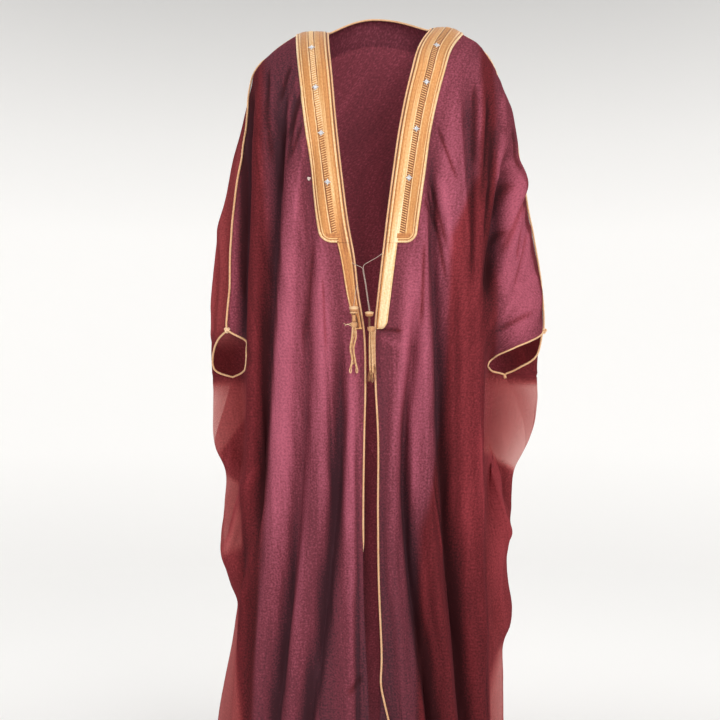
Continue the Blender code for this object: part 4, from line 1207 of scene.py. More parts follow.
class Recipe:
    """One procedural material, built node by node."""

    def __init__(self, name: str) -> None:
        """Start an empty material.

        Args:
            name: What the material is called.
        """
        self.material = bpy.data.materials.new(name)
        self.material.use_nodes = True
        self.tree = self.material.node_tree
        self.tree.nodes.clear()

    def feed(self, node: bpy.types.Node, socket: str | int, value: object) -> None:
        """Wire a socket into a node's input, or set the input itself.

        Args:
            node: The node.
            socket: The input's name or number.
            value: A socket, a number, a colour or a vector.
        """
        entry = node.inputs[socket]
        if isinstance(value, Socket):
            self.tree.links.new(value, entry)
        else:
            entry.default_value = (*value, 1) if entry.type == "RGBA" else value

    def node(self, kind: str, *feeds: object, **settings: object) -> bpy.types.Node:
        """Add a node.

        Args:
            kind: Blender's name for it, without ShaderNode.
            feeds: What its first inputs are fed, in order.
            settings: Its attributes, and what its other inputs are fed, with _ for spaces.

        Returns:
            The node.
        """
        made = self.tree.nodes.new("ShaderNode" + kind)
        for name, value in settings.items():
            if hasattr(made, name):
                setattr(made, name, value)
            else:
                self.feed(made, name.replace("_", " "), value)
        for k, value in enumerate(feeds):
            self.feed(made, k, value)
        return made

    def layer(self, title: str, vector: bool = False) -> Socket:
        """The values that the mesh carries under this title."""
        node = self.node("Attribute", attribute_name=title)
        return node.outputs["Vector" if vector else "Fac"]

    def math(self, operation: str, a: object, b: object) -> Socket:
        """A sum of two numbers or sockets."""
        return self.node("Math", a, b, operation=operation).outputs[0]

    def ramp(self, source: Socket, places: Sequence[float], colours: Sequence[Colour]) -> Socket:
        """Colours along a ramp.

        Args:
            source: The number that is looked up.
            places: Where each colour lies.
            colours: The colours.

        Returns:
            The colour socket.
        """
        node = self.node("ValToRGB", source)
        elements = node.color_ramp.elements
        while len(elements) < len(places):
            elements.new(0.5)
        for element, place, colour in zip(elements, places, colours):
            element.position = place
            element.color = (*colour, 1)
        return node.outputs[0]

    def mix(self, share: object, a: object, b: object, blend: str = "MIX") -> Socket:
        """Two colours mixed.

        Args:
            share: How much of the second there is.
            a: The first, as a colour or a socket.
            b: The second.
            blend: How they are mixed.

        Returns:
            The colour socket.
        """
        node = self.node("Mix", share, data_type="RGBA", blend_type=blend)
        self.feed(node, 6, a)
        self.feed(node, 7, b)
        return node.outputs[2]

    def noise(self, vector: Socket, scale: float | Point, detail: float = 2.0) -> Socket:
        """Noise over a vector.

        Args:
            vector: Where it is read.
            scale: Cells a metre, by axis or on all axes.
            detail: How finely it is broken up.

        Returns:
            A socket of values from 0 to 1.
        """
        if isinstance(scale, tuple):
            vector, scale = self.node("Mapping", vector, Scale=scale).outputs[0], 1.0
        return self.node("TexNoise", Vector=vector, Scale=scale, Detail=detail).outputs[0]

    def grained(self, tone: Socket, place: Socket, grains: Sequence[Grain], middle: float) -> Socket:
        """A tone with patterns laid over it.

        Args:
            tone: The tone before them.
            place: Where they are read.
            grains: The patterns.
            middle: What is taken off, so that the tone stays about where it was.

        Returns:
            The tone socket.
        """
        for grain in grains:
            pattern = self.noise(place, grain.scale, grain.detail)
            tone = self.math("ADD", tone, self.math("MULTIPLY", pattern, grain.share))
        return self.math("SUBTRACT", tone, middle)

    def ridges(self, vector: Socket, axis: str, pitch: float, wander: float) -> Socket:
        """Even ridges across one axis of a vector.

        Args:
            vector: Where they are read.
            axis: The axis, X, Y or DIAGONAL.
            pitch: How far apart they lie.
            wander: How unevenly they run.

        Returns:
            A socket of values from 0 to 1.
        """
        settings = {"bands_direction": axis, "Scale": math.pi / 10 / pitch, "Distortion": wander}
        return self.node("TexWave", Vector=vector, **settings).outputs["Fac"]

    def bump(self, height: Socket, strength: float, distance: float) -> Socket:
        """A normal bumped by a height."""
        return self.node("Bump", Height=height, Strength=strength, Distance=distance).outputs[0]

    def finish(self, shader: bpy.types.Node) -> bpy.types.Material:
        """The material, with its last shader wired to the surface."""
        self.node("OutputMaterial", shader.outputs[0])
        return self.material


@dataclass(frozen=True)
class ClothFinish:
    """Sheer wool-and-silk plain weave: mauve where it lies near the body, a painted lightening as if a
    pale garment under it lit it through, brick red further out.
    """

    # Each palette runs from painted shade in a fold's valley, through the cloth's own colour, to a
    # painted highlight on its crest.
    near: tuple[Colour, ...] = ((0.084, 0.034, 0.045), (0.238, 0.056, 0.079), (0.590, 0.152, 0.227))
    far: tuple[Colour, ...] = ((0.064, 0.017, 0.020), (0.182, 0.028, 0.034), (0.410, 0.062, 0.077))
    single: tuple[Colour, ...] = ((0.330, 0.062, 0.068), (0.600, 0.160, 0.155))
    double_places: tuple[float, ...] = (0.10, 0.50, 1.00)
    single_places: tuple[float, ...] = (0.10, 0.80)
    let_through_dense: Colour = (0.90, 0.22, 0.22)
    let_through_sheer: Colour = (1.0, 0.84, 0.81)
    glow_tint: Colour = (1.0, 0.75, 0.75)
    glow_share: float = 0.25
    sheer_gaps: float = 0.72
    weave_gaps: float = 0.05
    grains: tuple[Grain, ...] = (
        Grain("slub", (210.0, 10.0, 1.0), 2.0, 0.26),
        Grain("cross_slub", (12.0, 280.0, 1.0), 2.0, 0.10),
        Grain("grain", 260.0, 3.0, 0.96),
        Grain("cloud", (34.0, 12.0, 1.0), 3.0, 0.20),
    )
    grain_middle: float = 0.76
    thread_pitch: float = 0.0011
    thread_height: float = 0.0004
    thread_bump: float = 0.35
    wander: float = 0.6
    roughness: float = 0.72
    sheen: float = 0.10
    sheen_roughness: float = 0.40
    sheen_tint: Colour = (1.0, 0.30, 0.38)

    def material(self) -> bpy.types.Material:
        """Make the cloth's material.

        Returns:
            The material, which reads its mesh's painted light and shade tone, its share of brick red
            with painted shade, and its single_layer.
        """
        recipe = Recipe("bisht_cloth")
        place, layers = recipe.layer("weave_place", vector=True), recipe.layer("single_layer")
        threads = [recipe.ridges(place, axis, self.thread_pitch, self.wander) for axis in "XY"]
        weave = recipe.math("MULTIPLY", *threads)
        # The tone layer is painted light and shade; the grains laid over it are the cloth's own uneven
        # tone.
        tone = recipe.grained(recipe.layer("fold_tone"), place, self.grains, self.grain_middle)
        near, far = (recipe.ramp(tone, self.double_places, row) for row in (self.near, self.far))
        colour = recipe.mix(recipe.layer("outer_tone"), near, far)
        colour = recipe.mix(layers, colour, recipe.ramp(tone, self.single_places, self.single))
        shader = recipe.node(
            "BsdfPrincipled",
            Base_Color=colour,
            Normal=recipe.bump(weave, self.thread_bump, self.thread_height),
            Roughness=self.roughness,
            Specular_IOR_Level=0.0,
            Sheen_Weight=self.sheen,
            Sheen_Roughness=self.sheen_roughness,
            Sheen_Tint=self.sheen_tint,
        )
        glow = recipe.node("BsdfTranslucent", recipe.mix(1.0, colour, self.glow_tint, "MULTIPLY"))
        body = recipe.node("MixShader", self.glow_share, shader.outputs[0], glow.outputs[0])
        tint = recipe.mix(layers, self.let_through_dense, self.let_through_sheer)
        clear = recipe.node("BsdfTransparent", tint)
        gaps = recipe.math("MULTIPLY", layers, self.sheer_gaps)
        gaps = recipe.math("ADD", gaps, recipe.math("MULTIPLY", weave, self.weave_gaps))
        return recipe.finish(recipe.node("MixShader", gaps, body.outputs[0], clear.outputs[0]))


@dataclass(frozen=True)
class ThreadFinish:
    """Metal thread, laid as embroidery, twisted cord or tie string, in colours from dark to pale."""

    name: str
    colours: tuple[Colour, ...]
    metallic: float
    roughness: float
    pitch: float
    embroidered: bool = False
    places: tuple[float, ...] = (0.02, 0.28, 0.52, 0.76, 0.98)
    stitch_grains: tuple[Grain, ...] = (
        Grain("thread", (520.0, 14.0, 1.0), 2.0, 0.44),
        Grain("cloud", (330.0, 220.0, 1.0), 2.0, 0.40),
    )
    cord_grains: tuple[Grain, ...] = (
        Grain("thread", 900.0, 2.0, 0.44),
        Grain("cloud", 60.0, 3.0, 0.40),
    )
    grain_middle: float = 0.42
    stitch_wander: float = 1.2
    cord_wander: float = 2.0
    thread_height: float = 0.0003
    thread_bump: float = 0.40
    sheen: float = 0.15

    def material(self) -> bpy.types.Material:
        """Make the thread's material.

        Returns:
            The material, whose mesh's tone says how light each stripe or ply is, with any painted shade
            and highlight laid into that tone.
        """
        recipe = Recipe(self.name)
        if self.embroidered:
            place, grains = recipe.layer("stitch_place", vector=True), self.stitch_grains
            threads = recipe.ridges(place, "Y", self.pitch, self.stitch_wander)
        else:
            place, grains = recipe.node("TexCoord").outputs["Object"], self.cord_grains
            threads = recipe.ridges(place, "DIAGONAL", self.pitch, self.cord_wander)
        tone = recipe.grained(recipe.layer("tone"), place, grains, self.grain_middle)
        shader = recipe.node(
            "BsdfPrincipled",
            Base_Color=recipe.ramp(tone, self.places, self.colours),
            Normal=recipe.bump(threads, self.thread_bump, self.thread_height),
            Roughness=self.roughness,
            Metallic=self.metallic,
            Sheen_Weight=self.sheen,
        )
        return recipe.finish(shader)


@dataclass(frozen=True)
class StudioFinish:
    """Plain pale studio paper, lightly mottled and shaded by height."""

    colour: Colour = (0.62, 0.615, 0.605)
    glow_tint: Colour = (1.0, 0.995, 0.985)
    mottle: float = 0.97
    shade_foot: float = -1.52
    shade_height: float = 2.7
    shade_places: tuple[float, ...] = (0.0, 0.16, 0.55, 0.72, 1.0)
    shades: tuple[float, ...] = (0.90, 1.0, 1.0, 0.90, 0.68)
    glow: float = 0.36

    def material(self) -> bpy.types.Material:
        """Make the paper's material.

        Returns:
            The material.
        """
        recipe = Recipe("studio_paper")
        place = recipe.node("TexCoord").outputs["Object"]
        height = recipe.node("SeparateXYZ", place).outputs["Z"]
        rise = recipe.math("ADD", height, -self.shade_foot)
        rise = recipe.math("MULTIPLY", rise, 1 / self.shade_height)
        shade = recipe.ramp(rise, self.shade_places, [(value,) * 3 for value in self.shades])
        low = tuple(self.mottle * c for c in self.colour)
        mottled = recipe.mix(recipe.noise(place, 0.8), low, self.colour)
        shader = recipe.node(
            "BsdfPrincipled",
            Base_Color=recipe.mix(1.0, mottled, shade, "MULTIPLY"),
            Emission_Color=recipe.mix(1.0, shade, self.glow_tint, "MULTIPLY"),
            Emission_Strength=self.glow,
            Roughness=0.9,
            Specular_IOR_Level=0.1,
        )
        return recipe.finish(shader)


THREADS: dict[str, ThreadFinish] = {
    "zari": ThreadFinish(
        "zari_embroidery",
        (
            (0.15, 0.05, 0.018), (0.45, 0.16, 0.047), (0.65, 0.285, 0.085),
            (0.82, 0.50, 0.22), (0.96, 0.76, 0.48),
        ),
        metallic=0.35, roughness=0.42, pitch=0.0009, embroidered=True,
    ),
    "cord": ThreadFinish(
        "gold_piping_cord",
        (
            (0.36, 0.15, 0.06), (0.70, 0.34, 0.14), (0.90, 0.54, 0.28),
            (0.98, 0.68, 0.42), (1.00, 0.80, 0.58),
        ),
        metallic=0.30, roughness=0.40, pitch=0.0006,
    ),
    "thread": ThreadFinish(
        "tie_thread",
        (
            (0.10, 0.065, 0.055), (0.30, 0.21, 0.18), (0.50, 0.38, 0.32),
            (0.66, 0.53, 0.46), (0.80, 0.70, 0.62),
        ),
        metallic=0.10, roughness=0.55, pitch=0.0005,
    ),
    "tassel": ThreadFinish(
        "tassel_thread",
        (
            (0.13, 0.05, 0.022), (0.50, 0.19, 0.065), (0.72, 0.40, 0.18),
            (0.92, 0.64, 0.36), (1.00, 0.84, 0.58),
        ),
        metallic=0.20, roughness=0.45, pitch=0.0006,
    ),
    "silver": ThreadFinish(
        "silver_thread",
        (
            (0.20, 0.20, 0.22), (0.42, 0.42, 0.45), (0.66, 0.67, 0.71),
            (0.84, 0.85, 0.88), (0.95, 0.96, 0.98),
        ),
        metallic=0.75, roughness=0.30, pitch=0.0005,
    ),
}
FINISHES: dict[str, bpy.types.Material] = {}


def dress(obj: Piece, finish: str, slot: str, *nodes: str) -> Piece:
    """Give a piece its finish and tie it to the frame.

    Args:
        obj: The piece, in place.
        finish: Which of the finishes it has.
        slot: The record's slot that the finish belongs to; not used.
        nodes: CAD nodes that the piece stands for.

    Returns:
        The piece.
    """
    obj.data.materials.clear()
    obj.data.materials.append(FINISHES[finish])
    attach(obj, "root")
    if nodes:
        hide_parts(*nodes)
    log.info("%s: %d faces", obj.name, len(obj.data.polygons))
    return obj
# ---- viewpoint and studio --------------------------------------------------------------------
@dataclass(frozen=True)
class Viewpoint:
    """The camera: level, a little to the wearer's right, three metres in front."""

    place: Point = (-0.0323, -3.0, -0.6585)
    lens: float = 74.25
    sensor: float = 36.0
    sight: float = 40.0

    def build(self) -> None:
        """Make the camera and give it to the scene."""
        data = bpy.data.cameras.new("camera")
        data.lens = self.lens
        data.sensor_width = self.sensor
        data.clip_end = self.sight
        camera = bpy.data.objects.new("camera", data)
        camera.location = self.place
        camera.rotation_euler = (math.radians(90), 0, 0)
        bpy.context.scene.collection.objects.link(camera)
        bpy.context.scene.camera = camera


class Lamp(NamedTuple):
    """A soft box: where it is, what it faces, its size and its power."""

    name: str
    place: Point
    target: Point
    size: float
    power: float
    colour: Colour
    tall: float = 0.0


@dataclass(frozen=True)
class Studio:
    """A pale round studio with soft boxes."""

    floor: float = -1.520
    radius: float = 4.6
    sweep: float = 1.4
    height: float = 4.2
    world_strength: float = 0.35
    world_colour: Colour = (1.0, 0.99, 0.98)
    lamps: tuple[Lamp, ...] = (
        Lamp("key", (1.0, -2.4, 0.75), (0.0, 0.0, -0.45), 1.1, 38.0, (1.0, 0.98, 0.97)),
        Lamp("fill", (-2.2, -3.2, 0.3), (0.0, 0.0, -0.60), 1.8, 26.0, (1.0, 0.99, 1.0)),
        Lamp("top", (0.0, 0.4, 3.0), (0.0, 0.0, -0.5), 2.4, 22.0, (1.0, 1.0, 1.0)),
        Lamp("rear_left", (2.6, 3.2, 2.0), (0.0, 0.0, -0.7), 1.8, 42.0, (1.0, 0.99, 0.98)),
        Lamp("rear_right", (-2.6, 3.2, 2.0), (0.0, 0.0, -0.7), 1.8, 42.0, (1.0, 0.99, 0.98)),
        Lamp("paper", (0.0, 0.45, -0.2), (0.0, 4.6, -0.4), 3.6, 16.5, (1.0, 0.995, 0.985), 0.7),
    )

    def build(self) -> None:
        """Make the paper, the lamps and the even light."""
        self.paper()
        for lamp in self.lamps:
            self.light(lamp)
        world = bpy.data.worlds.new("studio_air")
        world.use_nodes = True
        sky = world.node_tree.nodes["Background"]
        sky.inputs["Color"].default_value = (*self.world_colour, 1)
        sky.inputs["Strength"].default_value = self.world_strength
        bpy.context.scene.world = world
        bpy.context.scene.view_settings.view_transform = "Standard"

    def paper(self) -> None:
        """Make the floor, which sweeps up into a round wall."""
        turn = np.linspace(0, math.pi / 2, 14)
        flat = self.radius - self.sweep
        reach = [0.02, 0.5 * flat, flat, *(flat + self.sweep * np.sin(turn[1:])), self.radius]
        rise = [0.0, 0.0, 0.0, *(self.sweep * (1 - np.cos(turn[1:]))), self.height]
        angle = np.linspace(0, 2 * math.pi, 97)
        out, up = np.array(reach)[:, None], np.array(rise)[:, None] + self.floor
        points = np.stack([out * np.cos(angle), out * np.sin(angle), up + 0 * angle], axis=-1)
        paper = add_grid("studio_paper", points, True, {})
        paper.data.materials.append(StudioFinish().material())

    @staticmethod
    def light(lamp: Lamp) -> None:
        """Hang one soft box.

        Args:
            lamp: Where it hangs, what it faces and how strong it is.
        """
        data = bpy.data.lights.new(lamp.name, "AREA")
        data.size = lamp.size
        if lamp.tall:
            data.shape = "RECTANGLE"
            data.size_y = lamp.tall
        data.energy = lamp.power
        data.color = lamp.colour
        obj = bpy.data.objects.new(lamp.name, data)
        obj.location = lamp.place
        way = Vector(lamp.target) - Vector(lamp.place)
        obj.rotation_euler = way.to_track_quat("-Z", "Y").to_euler()
        obj.visible_camera = False
        bpy.context.scene.collection.objects.link(obj)


# ---- ties and tassels ------------------------------------------------------------------------
TIE_STOPS: dict[str, list[Stop]] = {
    "tie_right": [
        Stop(-0.0376, -0.1715, 0.515),
        Stop(-0.0388, -0.179, 0.52),
        Stop(-0.041, -0.1815, 0.532),
        Stop(-0.0428, -0.1825, 0.545),
        Stop(-0.044, -0.183, 0.556),
    ],
    "tie_left": [
        Stop(0.01, -0.173, 0.456),
        Stop(-0.001, -0.179, 0.464),
        Stop(-0.015, -0.1815, 0.472),
        Stop(-0.0258, -0.1825, 0.48),
        Stop(-0.025, -0.1828, 0.491),
        Stop(-0.0213, -0.183, 0.512),
        Stop(-0.0174, -0.183, 0.54),
        Stop(-0.0134, -0.183, 0.5657),
    ],
    "tie_cross": [
        Stop(-0.047, -0.1715, 0.473),
        Stop(-0.044, -0.178, 0.476),
        Stop(-0.036, -0.1805, 0.4795),
        Stop(-0.0276, -0.1825, 0.4845),
        Stop(-0.0263, -0.1832, 0.493),
        Stop(-0.0226, -0.1834, 0.5125),
        Stop(-0.0187, -0.1834, 0.54),
        Stop(-0.0148, -0.1834, 0.5657),
    ],
}
BEADS: dict[Side, list[Turn]] = {
    Side.RIGHT: [
        Turn(0.0034, 0.0),
        Turn(0.0076, 0.001),
        Turn(0.0084, 0.0044),
        Turn(0.0078, 0.0084),
        Turn(0.0066, 0.0104),
        Turn(0.0078, 0.0118),
        Turn(0.007, 0.014),
        Turn(0.0036, 0.0152),
        Turn(0.003, 0.0166),
        Turn(0.0038, 0.0192),
        Turn(0.0034, 0.0236),
        Turn(0.004, 0.028),
        Turn(0.003, 0.03),
    ],
    Side.LEFT: [
        Turn(0.003, 0.0),
        Turn(0.0066, 0.0008),
        Turn(0.0076, 0.0036),
        Turn(0.0074, 0.0062),
        Turn(0.006, 0.009),
        Turn(0.0028, 0.0104),
        Turn(0.0018, 0.0116),
        Turn(0.0026, 0.017),
        Turn(0.0018, 0.021),
        Turn(0.0024, 0.028),
    ],
}


class Winding(NamedTuple):
    """Part of a bead's winding: the drop at which it ends, and how light it is, painted highlight and
    shade included.
    """

    end: float
    tone: float


# The beads' own bands of thread, with a painted highlight on each bead's top and painted shade at its
# narrow necks.
BEAD_TONES_AND_SHADE: dict[Side, tuple[Winding, ...]] = {
    Side.RIGHT: (
        Winding(0.006, 0.74),
        Winding(0.0092, 0.44),
        Winding(0.0108, 0.16),
        Winding(0.0146, 0.56),
        Winding(0.0168, 0.0),
        Winding(0.03, 0.4),
    ),
    Side.LEFT: (Winding(0.0050, 0.70), Winding(0.0100, 0.36), Winding(0.0280, 0.00)),
}
KNOTS: dict[Side, list[Turn]] = {
    Side.RIGHT: [
        Turn(0.0026, 0.0),
        Turn(0.0056, 0.0012),
        Turn(0.0068, 0.0046),
        Turn(0.0056, 0.0084),
        Turn(0.0038, 0.0105),
    ],
    Side.LEFT: [
        Turn(0.003, 0.0),
        Turn(0.0068, 0.0012),
        Turn(0.0078, 0.004),
        Turn(0.007, 0.0076),
        Turn(0.0052, 0.01),
    ],
}
BEAD_TOP: dict[Side, Stop] = {
    Side.RIGHT: Stop(-0.0440, -0.1830, 0.5562),
    Side.LEFT: Stop(-0.0146, -0.1830, 0.5662),
}
STRANDS: dict[Side, list[Strand]] = {
    Side.RIGHT: [
        Strand(-0.0012, -0.003, 0.094, (-0.0018, -0.0033, -0.0064, -0.0033, -0.0078)),
        Strand(0.0006, -0.0004, 0.094, (0.0022, 0.004, -0.0004, 0.0022, 0.0072)),
        Strand(0.0022, 0.004, 0.076, (0.0002, 0.0006, -0.0034, -0.0006, -0.0016)),
    ],
    Side.LEFT: [
        Strand(0.0, -0.001, 0.098, (-0.003, -0.0036, -0.0034, -0.003, -0.0016)),
        Strand(-0.0016, -0.003, 0.094, (0.0008, 0.0004, 0.0012, 0.0018, 0.0024)),
        Strand(0.002, 0.003, 0.084, (0.0036, 0.0034, 0.003, 0.0034, 0.004)),
    ],
}


Tone = Callable[[float], float]  # lightness of thread at a drop


@dataclass(frozen=True)
class Wrapping:
    """Thread wound round a turned core: how far apart, how high and how much lighter its raised turns
    are painted, a painted highlight on each turn.
    """

    pitch: float = 0.0013
    height: float = 0.00022
    lighter: float = 0.16
    steps: int = 72
    sides: int = 30

    def wind(self, bag: MeshBag, turns: Sequence[Turn], top: Array, tone: Tone) -> None:
        """Add a wound core.

        Args:
            bag: Where the shape goes.
            turns: Its half widths down from the top.
            top: Its top, in metres.
            tone: Lightness of the thread at a drop under the top.
        """
        drops = np.linspace(0, turns[-1].drop, self.steps)
        half = through(column_of(turns, "drop"), column_of(turns, "half"), drops)
        angle = np.arange(self.sides) * 2 * math.pi / self.sides
        wave = np.cos(2 * math.pi * drops[:, None] / self.pitch + angle[None, :])
        radius = half[:, None] + self.height * wave
        x, y = radius * np.cos(angle), radius * np.sin(angle)
        points = np.stack([x, y, -drops[:, None] + 0 * x], axis=-1) + top
        # Painted highlight on each raised turn of thread, painted shade between the turns.
        tones = np.repeat([tone(drop) for drop in drops], self.sides) + self.lighter * np.ravel(wave)
        bag.put(points, ring_faces(self.steps, self.sides, turned=True), tones)


def tied_knot(bag: MeshBag, centre: Array, size: float, thread: float, tone: float) -> None:
    """A small overhand knot.

    Args:
        bag: Where the knot goes.
        centre: Its middle.
        size: Its radius over the thread's centre line.
        thread: Radius of the thread.
        tone: Lightness of the thread.
    """
    t = np.linspace(0, 2 * math.pi, 61)[:-1]
    x = np.sin(t) + 2 * np.sin(2 * t)
    z = np.cos(t) - 2 * np.cos(2 * t)
    y = -1.2 * np.sin(3 * t)
    path = np.stack([x, y, z], axis=1) * size / 3 + centre
    path = np.concatenate([path, path[:2]])
    bag.sweep(path, np.full(len(path), thread), 8, tone)


@dataclass
class Tassel:
    """A wrapped bead over a knot with its strands, at the end of a tie."""

    side: Side
    wrapping: Wrapping = Wrapping()
    under_bead: float = 0.0003
    knot_tone: float = 0.46
    knot_place: Point = (0.0, -0.0014, -0.0048)
    strand_top: float = 0.005
    strand_radius: float = 0.0018
    strand_tone: float = 0.60
    strand_swell: float = 1.15
    yarns: int = 16
    yarn_points: int = 8
    yarn_radius: float = 0.00045
    yarn_spread: tuple[float, float] = (0.0052, 0.0034)
    yarn_ends: tuple[float, float] = (0.002, 0.008)
    yarn_tones: tuple[float, float] = (0.15, 0.60)
    loop_width: float = 0.0017
    loop_height: float = 0.0048
    loop_radius: float = 0.0010
    end_leans: tuple[tuple[float, float], ...] = ((0.0012, 0.0170), (-0.0016, 0.0145))

    @property
    def sideways(self) -> float:
        """How far the knot hangs to the side of its bead."""
        return 0.0 if self.side is Side.RIGHT else 0.0042

    def strand_path(self, strand: Strand, root: Array) -> Array:
        """Centre line of one strand.

        Args:
            strand: Its length, depths and sway.
            root: The top of the knot that it hangs from.

        Returns:
            The line's points, from the knot down.
        """
        t = np.linspace(0, 1, 44)
        x = through(np.linspace(0, 1, 5), strand.sway, t)
        y = strand.y + (strand.end_y - strand.y) * t
        z = -self.strand_top - (strand.length - self.strand_top) * t
        return np.stack([x, y, z], axis=1) + root

    def tone(self, drop: float) -> float:
        """How light the bead's winding is at a drop, painted highlight and shade included."""
        windings = BEAD_TONES_AND_SHADE[self.side]
        return next((winding.tone for winding in windings if drop <= winding.end), windings[-1].tone)

    def build(self) -> tuple[Piece, Piece]:
        """Make the bead and the tassel.

        Returns:
            The bead, and the tassel under it.
        """
        stop, word = BEAD_TOP[self.side], self.side.word
        top = np.array([stop.x, stop.y, -stop.drop])
        bag = MeshBag()
        self.wrapping.wind(bag, BEADS[self.side], top, self.tone)
        bead = dress(bag.obj(f"bead_{word}"), "tassel", "gold_cord", f"bead_{word}")
        below = BEADS[self.side][-1].drop + self.under_bead
        root = top + np.array([self.sideways, 0, -below])
        bag = MeshBag()
        self.wrapping.wind(bag, KNOTS[self.side], root, lambda drop: self.knot_tone)
        tied_knot(bag, root + np.array(self.knot_place), 0.0054, 0.0012, self.strand_tone)
        draw = np.random.default_rng(7)
        for strand in STRANDS[self.side]:
            path = self.strand_path(strand, root)
            line = path[:-3]
            STRAND_TWIST.lay(bag, line, self.strand_radius, self.strand_tone, self.strand_swell)
            if self.side is Side.RIGHT:
                self.loop(bag, path[-4])
            else:
                self.frayed(bag, path, draw)
        if self.side is Side.RIGHT:
            self.loose_end(bag, root)
        tassel = dress(bag.obj(f"tassel_{word}"), "tassel", "tie_thread", f"tassel_{word}")
        return bead, tassel

    def frayed(self, bag: MeshBag, path: Array, draw: np.random.Generator) -> None:
        """Loose yarns at a strand's end.

        Args:
            bag: Where they go.
            path: The strand's centre line.
            draw: Where the chances come from.
        """
        t = np.linspace(0, 1, self.yarn_points)[:, None]
        radii = np.linspace(1.2, 0.7, self.yarn_points) * self.yarn_radius
        shortest, more = self.yarn_ends
        for _ in range(self.yarns):
            spread = draw.uniform(-1, 1, 2) * np.array(self.yarn_spread)
            start = path[-8] + np.array([*(spread * 0.25), 0])
            end = path[-1] + np.array([*spread, -shortest - more * draw.uniform(0, 1)])
            middle = 0.5 * (start + end) + np.array([*(spread * 0.45), 0])
            line = (1 - t) ** 2 * start + 2 * t * (1 - t) * middle + t * t * end
            bag.sweep(line, radii, 4, draw.uniform(*self.yarn_tones))

    def loop(self, bag: MeshBag, end: Array) -> None:
        """A small loop that finishes a strand.

        Args:
            bag: Where it goes.
            end: The strand's end, which it hangs from.
        """
        t = np.linspace(0, 2 * math.pi, 25)
        x, z = self.loop_width * np.sin(t), self.loop_height * (np.cos(t) - 1)
        line = np.stack([x, 0.0004 * np.sin(t), z], axis=1) + end + np.array([0, 0, 0.001])
        bag.sweep(line, np.full(len(t), self.loop_radius), 7, 0.66)

    def loose_end(self, bag: MeshBag, root: Array) -> None:
        """Two thread ends that stick out of the knot.

        Args:
            bag: Where they go.
            root: The knot's top.
        """
        t = np.linspace(0, 1, 14)
        for lean, reach in self.end_leans:
            z = -0.0045 + lean * np.sin(2.4 * math.pi * t) + lean * t
            line = np.stack([-0.003 - reach * t, -0.0030 + 0.0012 * t, z], axis=1) + root
            bag.sweep(line, np.linspace(0.0006, 0.00035, len(t)), 5, 0.80)


@dataclass
class Ties:
    """The tie strings, which hold the fronts together, with what hangs on them."""

    radius: float = 0.00065
    tone: float = 0.60
    points: int = 30

    def path(self, name: str) -> Array:
        """Smooth centre line of one tie.

        Args:
            name: The tie's name.

        Returns:
            Points of the line through the tie's stops.
        """
        stops = np.array([(stop.x, stop.y, -stop.drop) for stop in TIE_STOPS[name]])
        places = lengths(stops)
        at = np.linspace(0, places[-1], self.points)
        return np.stack([through(places, stops[:, k], at) for k in range(3)], axis=1)

    def build(self) -> None:
        """Make the ties with what hangs on them."""
        hung = {side: Tassel(side).build() for side in Side}
        ends = {"tie_right": hung[Side.RIGHT][:1], "tie_left": hung[Side.LEFT][:1], "tie_cross": ()}
        for name, pieces in ends.items():
            line = self.path(name)
            bag = MeshBag()
            TIE_TWIST.lay(bag, line, self.radius, self.tone)
            tie = dress(bag.obj(name), "thread", "tie_thread", name)
            length = float(lengths(line)[-1])
            list(pieces)
            log.info("%s: %.3f m long", name, length)


# ---- cloth panels ----------------------------------------------------------------------------
SHOULDER_END, SHOULDER_CROWDING = 0.17, 1.5  # rows lie closer above this row, by this power
ROW_COUNTS = (46, 80, 42, 130)  # over the shoulders, the chest, the hand openings and the skirt


def fine_rows() -> Array:
    """Place the rows of the cloth panels, closer over the shoulders and at the hand openings.

    Returns:
        The rows' distances under the top edge.
    """
    stops = (SHOULDER_END, *OPENING_ROWS, HEM_DROP)
    rows = [SHOULDER_END * np.linspace(0, 1, ROW_COUNTS[0]) ** SHOULDER_CROWDING]
    for start, end, count in zip(stops, stops[1:], ROW_COUNTS[1:]):
        rows.append(np.linspace(start, end, count)[1:])
    return np.concatenate(rows)


def front_shares() -> Array:
    """Columns of a front, from its edge to the side line."""
    folds = np.linspace(0, ARM_SHARE, 16 * FRONT_GAPS + 1)
    return np.concatenate([folds, np.linspace(ARM_SHARE, 1, 50)[1:]])


def back_shares() -> Array:
    """Columns of half the back, from the centre to the side line."""
    folds = np.linspace(0, SIDE_SHARE, 15 * BACK_GAPS + 1)
    return np.concatenate([folds, np.linspace(SIDE_SHARE, 1, 52)[1:]])


def back_surface(shares: Array, rows: Array) -> Surface:
    """The whole back, from the wearer's right to the left.

    Args:
        shares: Columns of half the back, from the centre to the side line.
        rows: Its rows' distances under the neck and shoulder seams.

    Returns:
        The back's surface on the same columns each side.
    """
    right = FORM.back(Side.RIGHT, shares[None, ::-1], rows[:, None])
    left = FORM.back(Side.LEFT, shares[None, :], rows[:, None])
    right.points[:, -1] = 0.5 * (right.points[:, -1] + left.points[:, 0])
    parts = {}
    for name, values in vars(right).items():
        parts[name] = np.concatenate([values, getattr(left, name)[:, 1:]], axis=1)
    return Surface(**parts)


class EdgeTurn(NamedTuple):
    """How a front's edge turns over low down: drops, cloth past the fold, radius and way."""

    starts: float
    full: float
    past: float
    strip: float
    radius: float
    way: int


EDGE_TURNS: dict[Side, EdgeTurn] = {
    Side.RIGHT: EdgeTurn(0.98, 1.08, 0.0, 0.008, 0.0030, -1),
    Side.LEFT: EdgeTurn(1.16, 1.40, 0.022, 0.024, 0.0024, 1),
}
TURN_COLUMNS = 22
LIP = 0.0008  # how far the cloth's edge rolls where it isn't turned over

